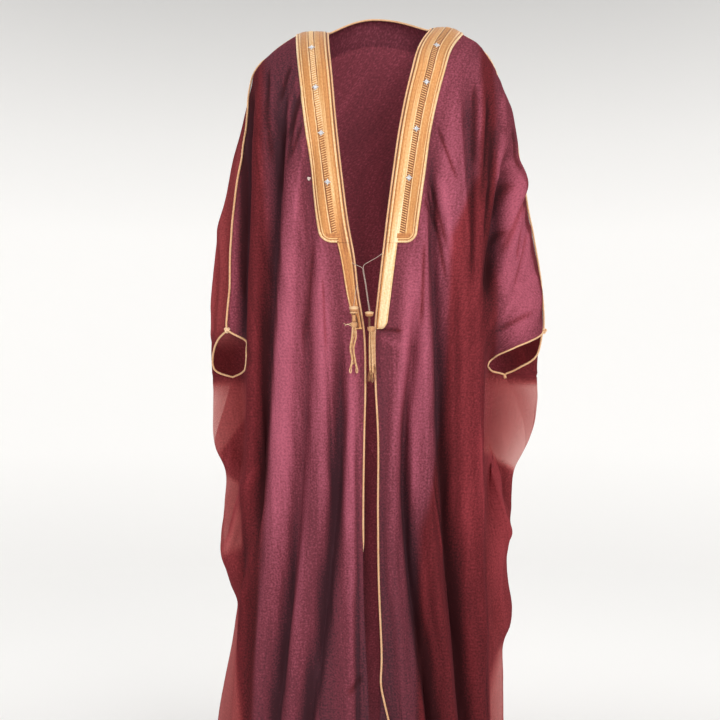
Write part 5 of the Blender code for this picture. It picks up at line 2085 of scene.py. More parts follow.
# How far out each front turns from mauve, painted lighter as if a pale garment under it lit it through,
# to brick red, at each drop.
RED_DROPS: dict[Side, tuple[float, ...]] = {
    Side.RIGHT: (0.05, 0.20, 0.50, 0.90, 1.40),
    Side.LEFT: (0.05, 0.30, 0.42, 0.60, 0.80, 0.98, 1.40),
}
RED_FROM: dict[Side, tuple[float, ...]] = {
    Side.RIGHT: (0.222, 0.212, 0.207, 0.214, 0.226),
    Side.LEFT: (0.205, 0.190, 0.140, 0.132, 0.124, 0.080, 0.072),
}
ARM_FROM: dict[Side, float] = {Side.RIGHT: 0.250, Side.LEFT: 0.226}


class Patch(NamedTuple):
    """A sheer part of the drape: how sheer and soft it is, and the drops at which its ends lie."""

    sheer: float
    soft: float
    outer_high: float
    outer_low: float
    inner_high: float
    inner_low: float


PATCHES: dict[Side, tuple[Patch, ...]] = {
    Side.RIGHT: (
        Patch(0.34, 0.01, 0.695, 0.865, 0.705, 0.75),
        Patch(0.42, 0.012, 0.884, 1.062, 0.927, 1.019),
        Patch(0.42, 0.045, 1.15, 1.6, 1.2, 1.6),
    ),
    Side.LEFT: (
        Patch(1.0, 0.01, 0.64, 0.884, 0.69, 0.835),
        Patch(0.6, 0.045, 1.205, 1.6, 1.315, 1.6),
    ),
}


class Glow(NamedTuple):
    """A patch of painted light on the sheer cloth, or of painted shade where its lift is below 0."""

    name: str
    out: float
    drop: float
    half_out: float
    half_drop: float
    lean: float
    lift: float


# Painted light and painted shade on the fronts, by place; a lift below 0 is painted shade.
PAINTED_LIGHTS: dict[Side, tuple[Glow, ...]] = {
    Side.RIGHT: (
        Glow("chest_panel", 0.172, 0.71, 0.036, 0.34, 0.06, 0.52),
        Glow("by_the_band", 0.098, 0.62, 0.03, 0.2, 0.0, 0.38),
        Glow("front_strip", 0.046, 0.82, 0.018, 0.42, 0.0, 0.42),
        Glow("over_the_arm", 0.285, 0.45, 0.016, 0.22, 0.02, 0.32),
        Glow("under_the_cord", 0.26, 0.38, 0.012, 0.28, 0.01, -0.4),
        Glow("mauve_zone", 0.15, 1.05, 0.02, 0.34, 0.03, 0.3),
        Glow("shoulder_shade", 0.19, 0.16, 0.06, 0.1, 0.0, -0.12),
        Glow("low_shade", 0.162, 1.23, 0.016, 0.1, 0.0, -0.14),
    ),
    Side.LEFT: (
        Glow("shoulder", 0.16, 0.12, 0.06, 0.16, 0.0, 0.26),
        Glow("by_the_band", 0.128, 0.38, 0.026, 0.2, 0.0, 0.32),
        Glow("front_ridges", 0.068, 0.66, 0.038, 0.26, -0.03, 0.44),
        Glow("column", 0.168, 0.68, 0.034, 0.36, 0.0, 0.17),
        Glow("column_line", 0.191, 0.88, 0.007, 0.1, 0.0, 0.3),
        Glow("arm", 0.278, 0.47, 0.044, 0.24, 0.04, 0.6),
        Glow("beside_the_arm", 0.222, 0.42, 0.018, 0.16, 0.03, -0.22),
        Glow("under_the_band", 0.062, 0.52, 0.014, 0.08, 0.0, 0.14),
        Glow("red_column", 0.162, 0.96, 0.022, 0.12, 0.0, 0.14),
        Glow("low_valley", 0.166, 1.27, 0.014, 0.1, 0.0, 0.14),
        Glow("outer_drape", 0.238, 1.04, 0.022, 0.14, 0.0, 0.26),
    ),
}


@dataclass(frozen=True)
class Shading:
    """The painted light and shade of each place of the cloth, as tones, and where it is one layer."""

    # Painted fall-off of the light: the cloth is painted lighter or darker by drop, darkest low down.
    body_drops: tuple[float, ...] = (0.0, 0.20, 0.40, 0.90, 1.40)
    body_tones: tuple[float, ...] = (0.36, 0.30, 0.38, 0.33, 0.20)
    # Painted light and shade of the folds: lighter on a crest, darker in a valley.
    by_height: float = 3.6
    by_level: float = 15.0
    fold_limits: tuple[float, float] = (-0.34, 0.13)
    # How much the ripples and the fine lines are painted lighter on their ridges and darker in their
    # hollows.
    by_ripple: float = 26.0
    by_line: float = 50.0
    line_limits: tuple[float, float] = (-0.30, 0.13)
    # How much lighter the hanging drape beyond the column is painted: painted light through the sheer
    # cloth.
    hanging: float = 0.24
    # Painted shadow beside the seam cord: how much darker the strip there is painted.
    by_seam: float = -0.30
    behind: float = 0.12
    # Painted highlights: how much lighter, and how streaky, the back behind the wearer's right arm is
    # painted.
    streak: tuple[float, float] = (0.20, 0.34)
    streak_cells: tuple[float, float, float] = (0.014, 9.0, 0.30)
    limits: tuple[float, float] = (0.0, 0.90)
    window: int = 31
    least_sheer: float = 0.06
    line_closes: tuple[float, float] = (90.0, 0.6)
    # How much redder the creases' hollows are painted: painted shade.
    hollow_reds: tuple[float, float] = (200.0, 0.7)
    arm_soft: float = 0.014
    # How far the cloth over the arm is painted back to mauve: the same painted light.
    arm_mauve: float = 0.85
    # How red the painted shadow beside the seam cord is.
    seam_red: float = 0.75

    def fold_tone(self, fold: Array) -> Array:
        """Painted light and shade from the folds: a painted highlight on a crest, painted shade in a
        valley.

        Args:
            fold: Height of the folds, by row and column.

        Returns:
            The change of tone, painted light and shade.
        """
        half, kernel = self.window // 2, np.ones(self.window) / self.window
        padded = np.pad(fold, ((0, 0), (half, self.window - 1 - half)), mode="edge")
        level = np.apply_along_axis(lambda row: np.convolve(row, kernel, "valid"), 1, padded)
        return np.clip(self.by_height * fold + self.by_level * (fold - level), *self.fold_limits)

    def body_tone(self, glows: Sequence[Glow], out: Array, drop: Array) -> Array:
        """Painted light and shade of the sheer cloth by place: painted lighter or darker by drop, and
        at the painted patches.

        Args:
            glows: The patches of painted light and painted shade.
            out: Distances out from the centre.
            drop: Drops under the shoulder points.

        Returns:
            The tone.
        """
        tone = np.interp(drop, self.body_drops, self.body_tones)
        for glow in glows:
            x = out - glow.out - glow.lean * (drop - glow.drop)
            reach = (x / glow.half_out) ** 2 + ((drop - glow.drop) / glow.half_drop) ** 2
            tone = tone + glow.lift * np.exp(-reach)
        return tone

    def sheerness(self, side: Side, share: Array, drop: Array, softened: float = 0.0) -> Array:
        """How sheer the drape beside an arm is.

        Args:
            side: The wearer's side.
            share: 0 at the column's edge, 1 at the side line.
            drop: Drops under the shoulder points.
            softened: How much softer than their table the patches' ends are.

        Returns:
            0 where it is dense, 1 where it is all sheer.
        """
        sheer = self.least_sheer + 0 * drop
        for patch in PATCHES[side]:
            high = patch.inner_high + (patch.outer_high - patch.inner_high) * share
            low = patch.inner_low + (patch.outer_low - patch.inner_low) * share
            soft = patch.soft + softened
            inside = smooth_step(-soft, soft, drop - high) * smooth_step(-soft, soft, low - drop)
            sheer = np.maximum(sheer, patch.sheer * inside)
        return sheer

    def front(self, side: Side, surface: Surface, relief: Array) -> Layers:
        """The finish's layers of a front.

        Args:
            side: The wearer's side.
            surface: The front's surface.
            relief: Height of its ripples.

        Returns:
            Its painted light and shade tone, its share of brick red with painted shade, and its
            single_layer.
        """
        out, drop = surface.out, surface.drop
        column, outline = (side_curve(table, side, drop) for table in (COLUMN_EDGE, OUTLINE))
        hanging = smooth_step(0.64, 0.74, drop) * smooth_step(0.002, 0.012, out - column)
        single = hanging * self.sheerness(side, (out - column) / (outline - column), drop)
        # Mauve near the body is painted light of a pale garment under the sheer cloth; brick red
        # further out.
        start = np.interp(drop, RED_DROPS[side], RED_FROM[side])
        outer = smooth_step(-0.008, 0.010, out - start)
        # Over the arm the cloth is painted mauve again, the same painted light.
        arm = ARM_FROM[side]
        on_arm = smooth_step(arm, arm + self.arm_soft, out) * smooth_step(0.70, 0.64, drop)
        outer = outer * (1 - self.arm_mauve * on_arm)
        # Painted shadow in a strip inside the outline, beside the seam cord.
        by_seam = smooth_step(0.017, 0.009, outline - out) * smooth_step(0.26, 0.32, drop)
        by_seam = by_seam * smooth_step(0.60, 0.56, drop)
        outer = np.maximum(outer, self.seam_red * by_seam)
        lines = FORM.fine_lines(side, out, drop)
        tone = self.fold_tone(surface.fold) + self.body_tone(PAINTED_LIGHTS[side], out, drop)
        # Painted shade and highlight of the ripples and the fine lines.
        tone = tone + self.by_ripple * relief + np.clip(self.by_line * lines, *self.line_limits)
        # Painted light on the hanging drape, and painted shadow beside the seam cord.
        tone = tone + self.hanging * hanging + self.by_seam * by_seam
        closing, most = self.line_closes
        single = single * (1 - np.clip(closing * np.abs(lines), 0, most))
        # Painted shade in the fine creases' hollows: painted redder.
        shaded_hollows = [crease for crease in FINE_CREASES[side] if crease.height < 0]
        reddening, most = self.hollow_reds
        red = np.clip(-reddening * FORM.slanting(shaded_hollows, out, drop), 0, most)
        tone, outer = np.clip(tone, *self.limits), np.maximum(outer, red)
        return {"fold_tone": tone, "outer_tone": outer, "single_layer": single}

    def back(self, surface: Surface, relief: Array, place: Array, noise: SoftNoise) -> Layers:
        """The finish's layers of the back.

        Args:
            surface: The back's surface.
            relief: Height of its ripples.
            place: Places across and down it, in metres of cloth.
            noise: What its streaks are drawn from.

        Returns:
            Its painted light and shade tone, its share of brick red with painted shade, and its
            single_layer.
        """
        drop, girth = surface.drop, surface.girth
        below = smooth_step(0.690, 0.715, drop)
        by_side = smooth_step(1.60, 1.02, girth)
        on_right = (np.arange(drop.shape[1]) < (drop.shape[1] + 1) // 2)[None, :]
        patched = [np.clip(self.sheerness(side, 1.0, drop, 0.045) / 0.34, 0, 1) for side in Side]
        patched = np.where(on_right, *patched)
        on_sleeve = on_right * smooth_step(0.12, 0.30, drop) * smooth_step(0.65, 0.58, drop)
        single = by_side * (0.84 * below * (0.15 + 0.85 * patched) + 0.26 * on_sleeve)
        # Painted highlights: lighter slanting streaks over the back behind the wearer's right arm.
        width, lean, length = self.streak_cells
        highlight_streaks = noise.at(place[..., 0] / width + lean * drop, place[..., 1] / length)
        tone = self.fold_tone(surface.fold) + self.body_tone((), surface.out, drop) + self.behind
        tone = tone + self.by_ripple * relief
        lighter, streaky = self.streak
        tone = tone + (lighter + streaky * highlight_streaks) * by_side * on_sleeve
        return {
            "fold_tone": np.clip(tone, *self.limits),
            # Brick red towards the sides; mauve, painted light, over the middle of the back.
            "outer_tone": smooth_step(1.60, 1.25, girth),
            "single_layer": single,
        }


@dataclass
class Cloth:
    """The three cloth panels: two fronts and the back, joined at the shoulders and sides."""

    ripple: float = 0.0016
    ripple_cell: tuple[float, float] = (0.016, 0.130)
    crinkle: float = 0.0006
    crinkle_cell: tuple[float, float] = (0.006, 0.045)
    sway: float = 0.8
    sway_cell: tuple[float, float] = (0.1, 0.15)
    hem_turn: float = 0.010
    hem_rise: float = 0.0006
    hem_step: float = 0.001
    apart: dict[str, float] = field(default_factory=lambda: {"right": 0.0, "left": 3.0, "back": 7.0})
    shading: Shading = Shading()
    broad: SoftNoise = SoftNoise(11)
    fine: SoftNoise = SoftNoise(23)

    def relief(self, u: Array, v: Array, calm: Array) -> Array:
        """Height of the small ripples of the cloth.

        Args:
            u: Place across the panel, in metres of cloth.
            v: Place down the panel.
            calm: 0 where the cloth has to lie flat, 1 where it is free.

        Returns:
            Height at each place.
        """
        (wide, long), (thin, short) = self.ripple_cell, self.crinkle_cell
        across, down = self.sway_cell
        broad = self.broad.at(u / wide + self.sway * self.fine.at(u / across, v / down), v / long)
        small = self.fine.at(u / thin + self.sway * v / across, v / short)
        turn = HEM_DROP - self.hem_turn
        hem = self.hem_rise * smooth_step(turn - self.hem_step, turn, v)
        return (self.ripple * broad + self.crinkle * small) * calm + hem

    def front_points(self, side: Side) -> tuple[Array, Layers]:
        """A front as a grid.

        Args:
            side: The wearer's side.

        Returns:
            Its points with its turned edge first, and the finish's layers.
        """
        rows, shares = fine_rows(), front_shares()
        surface = FORM.front(side, shares[None, :], rows[:, None])
        u, v = lengths(surface.points, 1), rows[:, None]
        banded = np.where(v < WIDE_END_ROW, BAND_WIDE, np.where(v < NARROW_END_ROW, BAND_NARROW, 0))
        calm = smooth_step(0.004, 0.020, u - banded) * smooth_step(0.0, 0.05, v)
        calm = calm * smooth_step(0.0, 0.04, u[:, -1:] - u)
        normals = grid_normals(surface.points, side.flip)
        relief = self.relief(u + self.apart[side.word], v, calm)
        points = surface.points + normals * (WALL / 2 + relief)[..., None]
        edge, past = self.turned_edge(side, points, normals, rows)
        layers = self.shading.front(side, surface, relief)
        for name, values in layers.items():
            turned = np.repeat(values[:, :1], edge.shape[1], axis=1)
            layers[name] = np.concatenate([turned, values], axis=1)
        u = np.concatenate([-past, u], axis=1)
        layers["weave_place"] = np.stack([u, v + 0 * u, 0 * u], axis=-1)
        return np.concatenate([edge, points], axis=1), layers

    @staticmethod
    def turned_edge(side: Side, points: Array, normals: Array, rows: Array) -> tuple[Array, Array]:
        """Extra columns past a front's edge, which roll over low down.

        Args:
            side: The wearer's side.
            points: The front's grid.
            normals: Its outward normals.
            rows: Its rows' drops.

        Returns:
            The extra columns, the outermost first, and their distances past the edge.
        """
        turn = EDGE_TURNS[side]
        share = smooth_step(turn.starts, turn.full, rows)[:, None]
        past = turn.past * share
        length = LIP + (past + math.pi * turn.radius + turn.strip * share - LIP) * share
        q = length * np.linspace(1, 0, TURN_COLUMNS + 1)[None, :-1]
        angle = np.clip((q - past) / turn.radius, 0, math.pi)
        back = np.maximum(q - past - math.pi * turn.radius, 0)
        ahead = np.minimum(q, past) + turn.radius * np.sin(angle) - back
        rise = turn.way * turn.radius * (1 - np.cos(angle))
        toward = unit(points[:, 0] - points[:, 2])[:, None]
        return points[:, :1] + toward * ahead[..., None] + normals[:, :1] * rise[..., None], q

    def back_points(self) -> tuple[Array, Layers]:
        """The back as a grid.

        Returns:
            Its points, and the finish's layers.
        """
        rows = fine_rows()
        surface = back_surface(back_shares(), rows)
        u = lengths(surface.points, 1)
        v = rows[:, None] + 0 * u
        calm = smooth_step(0.0, 0.04, np.minimum(u, u[:, -1:] - u)) * smooth_step(0.03, 0.10, v)
        relief = self.relief(u + self.apart["back"], v, calm)
        normals = grid_normals(surface.points, True)
        place = np.stack([u, v, 0 * u], axis=-1)
        layers = self.shading.back(surface, relief, place, self.fine) | {"weave_place": place}
        return surface.points + normals * (WALL / 2 + relief)[..., None], layers

    def front(self, side: Side) -> Piece:
        """Make one front.

        Args:
            side: The wearer's side.

        Returns:
            The front's cloth.
        """
        points, layers = self.front_points(side)
        name = f"front_{side.word}"
        return dress(add_grid(name, points, side.flip, layers), "cloth", "cloth", name)

    def back(self) -> Piece:
        """Make the back."""
        points, layers = self.back_points()
        return dress(add_grid("back", points, True, layers), "cloth", "cloth", "back")


# ---- embroidered bands -----------------------------------------------------------------------
OUTER_STRIPES = (
    Stripe("edge_cord", 0.0046, 0.0014, 0.86, 1.0),
    Stripe("edge_groove", 0.0014, 0.0002, 0.18, 0.0),
    Stripe("line_cord", 0.0026, 0.001, 0.8, 1.0),
    Stripe("line_groove", 0.0008, 0.0004, 0.3, 0.0),
    Stripe("outer_satin", 0.0112, 0.001, 0.5, 0.35),
    Stripe("light_line", 0.0022, 0.001, 0.84, 1.0),
    Stripe("ladder_groove", 0.0016, 0.0002, 0.1, 0.0),
)
INNER_STRIPES = (
    Stripe("edge_groove", 0.0022, 0.0002, 0.14, 0.0),
    Stripe("broad_line", 0.004, 0.0011, 0.88, 0.8),
    Stripe("thin_groove", 0.0009, 0.0004, 0.26, 0.0),
    Stripe("inner_satin", 0.0066, 0.001, 0.54, 0.35),
    Stripe("satin_line", 0.001, 0.0006, 0.36, 0.0),
    Stripe("middle_satin", 0.0074, 0.001, 0.62, 0.35),
    Stripe("light_line", 0.0022, 0.001, 0.82, 1.0),
    Stripe("ladder_groove", 0.0014, 0.0002, 0.16, 0.0),
)
NARROW_STRIPES = {
    Side.RIGHT: (
        Stripe("edge_line", 0.003, 0.0011, 0.74, 1.0),
        Stripe("thin_groove", 0.001, 0.0005, 0.34, 0.0),
        Stripe("outer_satin", 0.0068, 0.001, 0.56, 0.4),
        Stripe("fine_line", 0.0014, 0.0008, 0.36, 0.6),
        Stripe("inner_satin", 0.0064, 0.001, 0.58, 0.4),
        Stripe("broad_line", 0.0032, 0.001, 0.66, 0.8),
        Stripe("edge_groove", 0.0022, 0.0002, 0.08, 0.0),
    ),
    Side.LEFT: (
        Stripe("edge_line", 0.003, 0.0011, 0.84, 1.0),
        Stripe("outer_satin", 0.0096, 0.001, 0.56, 0.4),
        Stripe("inner_satin", 0.0084, 0.001, 0.54, 0.4),
        Stripe("edge_groove", 0.003, 0.0003, 0.44, 0.0),
    ),
}


GROUND = 0.0003  # height of the lowest thread over a band's ground
# Painted shade on the rounded stripes: darker towards their edges than on their crowns.
ROUND_SHADE = 0.10  # how much darker a stripe is at its edges than on its crown


def striped(stripes: Sequence[Stripe], place: Array, satin: float) -> Work:
    """Height and tone of stripes laid side by side.

    Args:
        stripes: The stripes, from place 0 on.
        place: Distance across them.
        satin: How much lighter the satin stripes are than their table says.

    Returns:
        Height of the thread, and its tone.
    """
    height, tone = np.zeros(place.shape), np.zeros(place.shape)
    start = 0.0
    for stripe in stripes:
        share = (place - start) / stripe.width
        inside = (share >= 0) & (share <= 1)
        round_off = 1 - stripe.crown * np.clip(2 * share - 1, -1, 1) ** 2
        height = np.where(inside, GROUND + stripe.height * round_off, height)
        lighter = satin if "satin" in stripe.name else 0.0
        # Painted shade: each stripe is darker where it rounds off.
        tone = np.where(inside, stripe.tone + lighter + ROUND_SHADE * (round_off - 1), tone)
        start += stripe.width
    return height, tone


LADDER_PITCH, LADDER_SLANT = 0.0046, 0.40  # how far apart its stitches lie, and how they lean


def laddered(place: Array, along: Array, beaded: Array, gap: float) -> Work:
    """A braid of slanting stitches.

    Args:
        place: Distance across it.
        along: Distance along it.
        beaded: 1 where it is worked in pale beads, 0 where its gaps are dark.
        gap: Tone of the dark gaps.

    Returns:
        Height of the thread, and its tone.
    """
    rib = 0.5 + 0.5 * np.cos(2 * math.pi * (along + LADDER_SLANT * place) / LADDER_PITCH)
    dark = gap + (0.82 - gap) * rib**1.1
    return GROUND + 0.0012 * rib**0.8, dark + (0.50 + 0.52 * rib - dark) * beaded


def full_width(stripes: Sequence[Stripe]) -> float:
    """How wide these stripes are side by side."""
    return sum(stripe.width for stripe in stripes)


def worked(chosen: Array, over: Work, under: Work) -> Work:
    """Height and tone of one work where it is chosen, and of the other elsewhere."""
    return np.where(chosen, over[0], under[0]), np.where(chosen, over[1], under[1])


def rounded_end(left: Array, corner: float) -> Array:
    """How much narrower a band is at this distance from its end, for its round corner."""
    drawn = np.clip((corner - left) / corner, 0, 1)
    return corner * (1 - np.sqrt(np.maximum(1 - drawn**2, 0)))


def to_rim(away: Array, below: Array, corner: float) -> Array:
    """Distance to a band's rim, from those to its outer edge and its end."""
    rounded = corner - np.hypot(corner - away, corner - below)
    return np.where((away < corner) & (below < corner), rounded, np.minimum(away, below))


def raised_work(name: str, base: Array, flip: bool, height: Array, layers: Layers) -> Piece:
    """Embroidery as a mesh: its top at these heights, and its sides down to the cloth.

    Args:
        name: The band's name.
        base: Points of the worn form under it, by row and column.
        flip: Whether its faces are turned over.
        height: Height of the thread over the cloth.
        layers: Values for the finish.

    Returns:
        The band, dressed.
    """
    around = ((1, 1), (1, 1))
    height = np.pad(height, around, mode="constant", constant_values=UNDER_BAND)
    normals = np.pad(grid_normals(base, flip), (*around, (0, 0)), mode="edge")
    points = np.pad(base, (*around, (0, 0)), mode="edge")
    points = points + normals * (WALL + BAND_LIFT + height)[..., None]
    layers = {
        title: np.pad(values, (*around, (0, 0))[: values.ndim], mode="edge")
        for title, values in layers.items()
    }
    return dress(add_grid(name, points, flip, layers), "zari", "zari", name)


# Distances along the wide bands at which their silver stars sit.
STAR_PLACES: dict[Side, tuple[float, ...]] = {
    Side.RIGHT: (0.099, 0.191, 0.283, 0.380),
    Side.LEFT: (0.107, 0.194, 0.290, 0.387),
}


class BandCut(NamedTuple):
    """How one side's bands are cut, and how light their satin and the ladder's gaps are."""

    slim: float  # how much narrower the wide band gets
    top: float  # width of the narrow band's top
    foot: float  # width of its foot
    corner: float  # radius of its corner
    satin: float
    narrow_satin: float
    gap: float


BAND_CUTS: dict[Side, BandCut] = {
    Side.RIGHT: BandCut(0.005, 0.0245, 0.0150, 0.003, 0.0, -0.18, 0.10),
    Side.LEFT: BandCut(0.002, 0.0225, 0.0205, 0.018, 0.03, 0.34, -0.08),
}


@dataclass
class FrontBands:
    """One front's embroidery: the wide band to the chest and the narrow one below it."""

    side: Side
    step: float = 0.00085
    column: float = 0.00078
    hang: float = 0.0095
    top_row: float = 0.0005
    between: float = 0.0003
    slims: tuple[float, float] = (0.14, 0.36)
    pales: tuple[float, float] = (0.14, 0.38)
    paler: float = 0.16
    duller: float = 0.05
    edge_stripes: float = 0.007
    joins: float = 0.10
    corner: float = 0.020
    ladder: float = 0.0095
    beads: float = 0.9
    beads_end: tuple[float, float] = (0.30, 0.24)
    foot: tuple[float, float] = (0.0088, 0.0180)
    foot_reach: tuple[float, float] = (0.012, 0.038)
    foot_pitch: float = 0.0030
    # How much darker the bead's painted shadow makes the right narrow band's foot.
    dark_foot: float = 0.40
    rays: int = 8
    ray_lengths: tuple[float, float] = (0.0062, 0.0042)
    ray_start: float = 0.0008
    ray_radius: float = 0.0011
    ray_arch: float = 0.0010
    star_lift: float = 0.0016

    @property
    def cut(self) -> BandCut:
        """How this side's bands are cut."""
        return BAND_CUTS[self.side]

    def wide_width(self, along: Array) -> Array:
        """Width of the wide band at distances along it."""
        return BAND_WIDE - self.cut.slim * smooth_step(*self.slims, along)

    def inner_stripes(self, across: Array, run: Array, left: Array) -> Work:
        """Height and tone of the stripes by the front edge, which run on into the narrow band.

        Args:
            across: Distance from the front edge.
            run: Distance down from the shoulder.
            left: Distance left to the narrow band's top.

        Returns:
            Height of the thread, and its tone.
        """
        height, tone = striped(INNER_STRIPES, across, self.cut.satin)
        paler = smooth_step(*self.pales, run) * smooth_step(0.0, 0.008, across - self.edge_stripes)
        tone = tone + (self.paler * paler - self.duller) * (tone > 0.30)
        near_end = smooth_step(self.joins, 0.0, left) * (across < BAND_NARROW)
        near_end = near_end * (across > self.edge_stripes)
        return height, tone + (self.cut.narrow_satin - self.cut.satin - 0.11) * near_end * (tone > 0.45)

    @staticmethod
    def share(across: Array) -> Array:
        """Share of the front's width at a distance from its edge."""
        knots = (0, BAND_NARROW / 2, BAND_NARROW, BAND_WIDE)
        return np.interp(across, knots, np.arange(4) * (ARM_SHARE / FRONT_GAPS))

    def even_rows(self, start: float, end: float, across: float) -> tuple[Array, Array]:
        """Rows evenly spaced along the cloth.

        Args:
            start: The first row.
            end: The last row.
            across: Distance from the front edge at which they are even.

        Returns:
            The rows, and their distances along the cloth.
        """
        rows = np.linspace(start, end, 1600)
        places = lengths(FORM.front(self.side, self.share(np.array(across)), rows).points)
        at = np.linspace(0, places[-1], int(round(places[-1] / self.step)) + 1)
        return np.interp(at, places, rows), at

    def raised(self, name: str, rows: Array, place: tuple[Array, Array], work: Work) -> Piece:
        """One of the bands as a piece.

        Args:
            name: What it is called before its side.
            rows: Its rows.
            place: Distances across and along it, by row and column.
            work: Height and tone of its thread.

        Returns:
            The band, dressed.
        """
        base = FORM.front(self.side, self.share(place[0]), rows[:, None]).points
        layers = {"tone": work[1], "stitch_place": np.stack([*place, 0 * place[0]], axis=-1)}
        return raised_work(f"{name}_{self.side.word}", base, self.side.flip, work[0], layers)

    def wide(self) -> Piece:
        """Make the wide band.

        Returns:
            The band, dressed.
        """
        rows, along = self.even_rows(self.top_row, WIDE_END_ROW + self.hang, BAND_NARROW)
        left = along[-1] - along
        wide = self.wide_width(along)[:, None]
        columns = np.linspace(0, BAND_WIDE, int(round(BAND_WIDE / self.column)) + 1)
        past = np.maximum(columns - BAND_NARROW, 0)[None, :] / (BAND_WIDE - BAND_NARROW)
        free = wide - BAND_NARROW - rounded_end(left, self.corner)[:, None]
        across = np.minimum(columns, BAND_NARROW)[None, :] + past * free
        run, below = (line[:, None] + 0 * across for line in (along, left))
        away = wide - across
        free_end = across > self.cut.top
        rim = np.where(free_end, to_rim(away, below, self.corner), away)
        reach, border = full_width(OUTER_STRIPES), full_width(OUTER_STRIPES[:3])
        beaded = self.beads * smooth_step(*self.beads_end, run) * (self.side is Side.RIGHT)
        ladder = laddered(away - reach, run, beaded, self.cut.gap)
        in_ladder = (away >= reach) & (away < reach + self.ladder)
        (high, low), (outer, inner) = self.foot, self.foot_reach
        in_foot = (below > high) & (below < low) & (away > outer) & (away < inner)
        ribs = 0.5 + 0.5 * np.cos(2 * math.pi * below / self.foot_pitch)
        edge = striped(OUTER_STRIPES, np.maximum(rim, 0), self.cut.satin)
        work = self.inner_stripes(across, run, below)
        work = worked(away < reach, striped(OUTER_STRIPES, away, self.cut.satin), work)
        work = worked(in_ladder, ladder, work)
        work = worked(in_foot, (0.0008 + 0.0004 * ribs, 0.22 + 0.26 * ribs), work)
        work = worked((rim < border) & free_end, edge, work)
        return self.raised("band_wide", rows, (across, run), work)

    def narrow(self) -> Piece:
        """Make the narrow band.

        Returns:
            The band, dressed.
        """
        start = WIDE_END_ROW + self.hang + self.between
        rows, along = self.even_rows(start, NARROW_END_ROW, BAND_NARROW / 2)
        left, corner = along[-1] - along, self.cut.corner
        columns = np.linspace(0, 1, int(round(BAND_NARROW / self.column)) + 1)[None, :]
        wide = self.cut.top + (self.cut.foot - self.cut.top) * along / along[-1]
        across = columns * (wide - rounded_end(left, corner))[:, None]
        run, below = (line[:, None] + 0 * across for line in (along, left))
        away = wide[:, None] - across
        rim = to_rim(away, below, corner)
        satin, stripes = self.cut.narrow_satin, NARROW_STRIPES[self.side]
        after = striped(stripes, away * full_width(stripes) / wide[:, None], satin)
        before = self.inner_stripes(across, 0.5 + 0 * run, 0 * run)
        started = smooth_step(0.0, 0.030, run)
        work = [old + (new - old) * started for old, new in zip(before, after)]
        edge = striped(stripes, np.maximum(rim, 0), satin)
        height, tone = worked(rim < stripes[0].width, edge, work)
        # Painted shadow of the bead over the right narrow band's foot.
        if self.side is Side.RIGHT:
            dark = smooth_step(0.030, 0.022, below) * (across > 0.006) * (below > 0.0025)
            tone = tone - self.dark_foot * dark
        return self.raised("band_narrow", rows, (across, run), (height, tone))

    def on_band(self, across: float, along: float, lift: float) -> tuple[Array, ...]:
        """A place on the wide band.

        Args:
            across: Distance from the front edge.
            along: Distance down the band.
            lift: Height over the band.

        Returns:
            The point, the outward normal, the way across and the way down.
        """
        rows, places = self.even_rows(self.top_row, WIDE_END_ROW, BAND_NARROW)
        near = np.array([-0.002, 0, 0.002])
        row = float(np.interp(along, places, rows)) + near
        patch = FORM.front(self.side, self.share(across + near)[None, :], row[:, None]).points
        normal = grid_normals(patch, self.side.flip)[1, 1]
        way = unit(patch[1, 2] - patch[1, 0])
        down = unit(np.cross(normal, way) * (1 if self.side is Side.RIGHT else -1))
        return patch[1, 1] + normal * (WALL + BAND_LIFT + lift), normal, way, down

    def silver(self) -> Piece:
        """Make the silver stars along the ladder.

        Returns:
            The stars as one piece, dressed.
        """
        bag = MeshBag()
        t = np.linspace(0, 1, 7)
        arch = (self.ray_arch * np.sin(math.pi * t))[:, None]
        radii = self.ray_radius * np.sqrt(np.maximum(1 - (2 * t - 1) ** 2, 0.05))
        for along in STAR_PLACES[self.side]:
            wide = float(self.wide_width(np.array(along)))
            middle = wide - full_width(OUTER_STRIPES) - self.ladder / 2
            point, normal, way, down = self.on_band(middle, along, self.star_lift)
            for k in range(self.rays):
                angle = 2 * math.pi * k / self.rays
                ray = way * math.cos(angle) + down * math.sin(angle)
                reach = self.ray_start + self.ray_lengths[k % 2] * t
                bag.sweep(point + ray * reach[:, None] + normal * arch, radii, 8, 0.72)
            tied_knot(bag, point + normal * 0.0007, 0.0018, 0.0005, 0.9)
        return dress(bag.obj(f"silver_stars_{self.side.word}"), "silver", "tie_thread")

    def build(self) -> list[Piece]:
        """Make the bands and their stars."""
        return [self.wide(), self.narrow(), self.silver()]


NECK_STRIPES = (
    Stripe("edge_groove", 0.0014, 0.0002, 0.1, 0.0),
    Stripe("line_cord", 0.0028, 0.001, 0.84, 1.0),
    Stripe("inner_satin", 0.009, 0.0009, 0.56, 0.35),
    Stripe("light_line", 0.0022, 0.001, 0.82, 1.0),
    Stripe("ladder", 0.009, 0.0, 0.0, 0.0),
    Stripe("light_line", 0.0022, 0.001, 0.82, 1.0),
    Stripe("outer_satin", 0.008, 0.0009, 0.52, 0.35),
    Stripe("line_cord", 0.0026, 0.001, 0.84, 1.0),
    Stripe("edge_groove", 0.0014, 0.0002, 0.1, 0.0),
    Stripe("edge_cord", 0.0038, 0.0014, 0.84, 1.0),
)


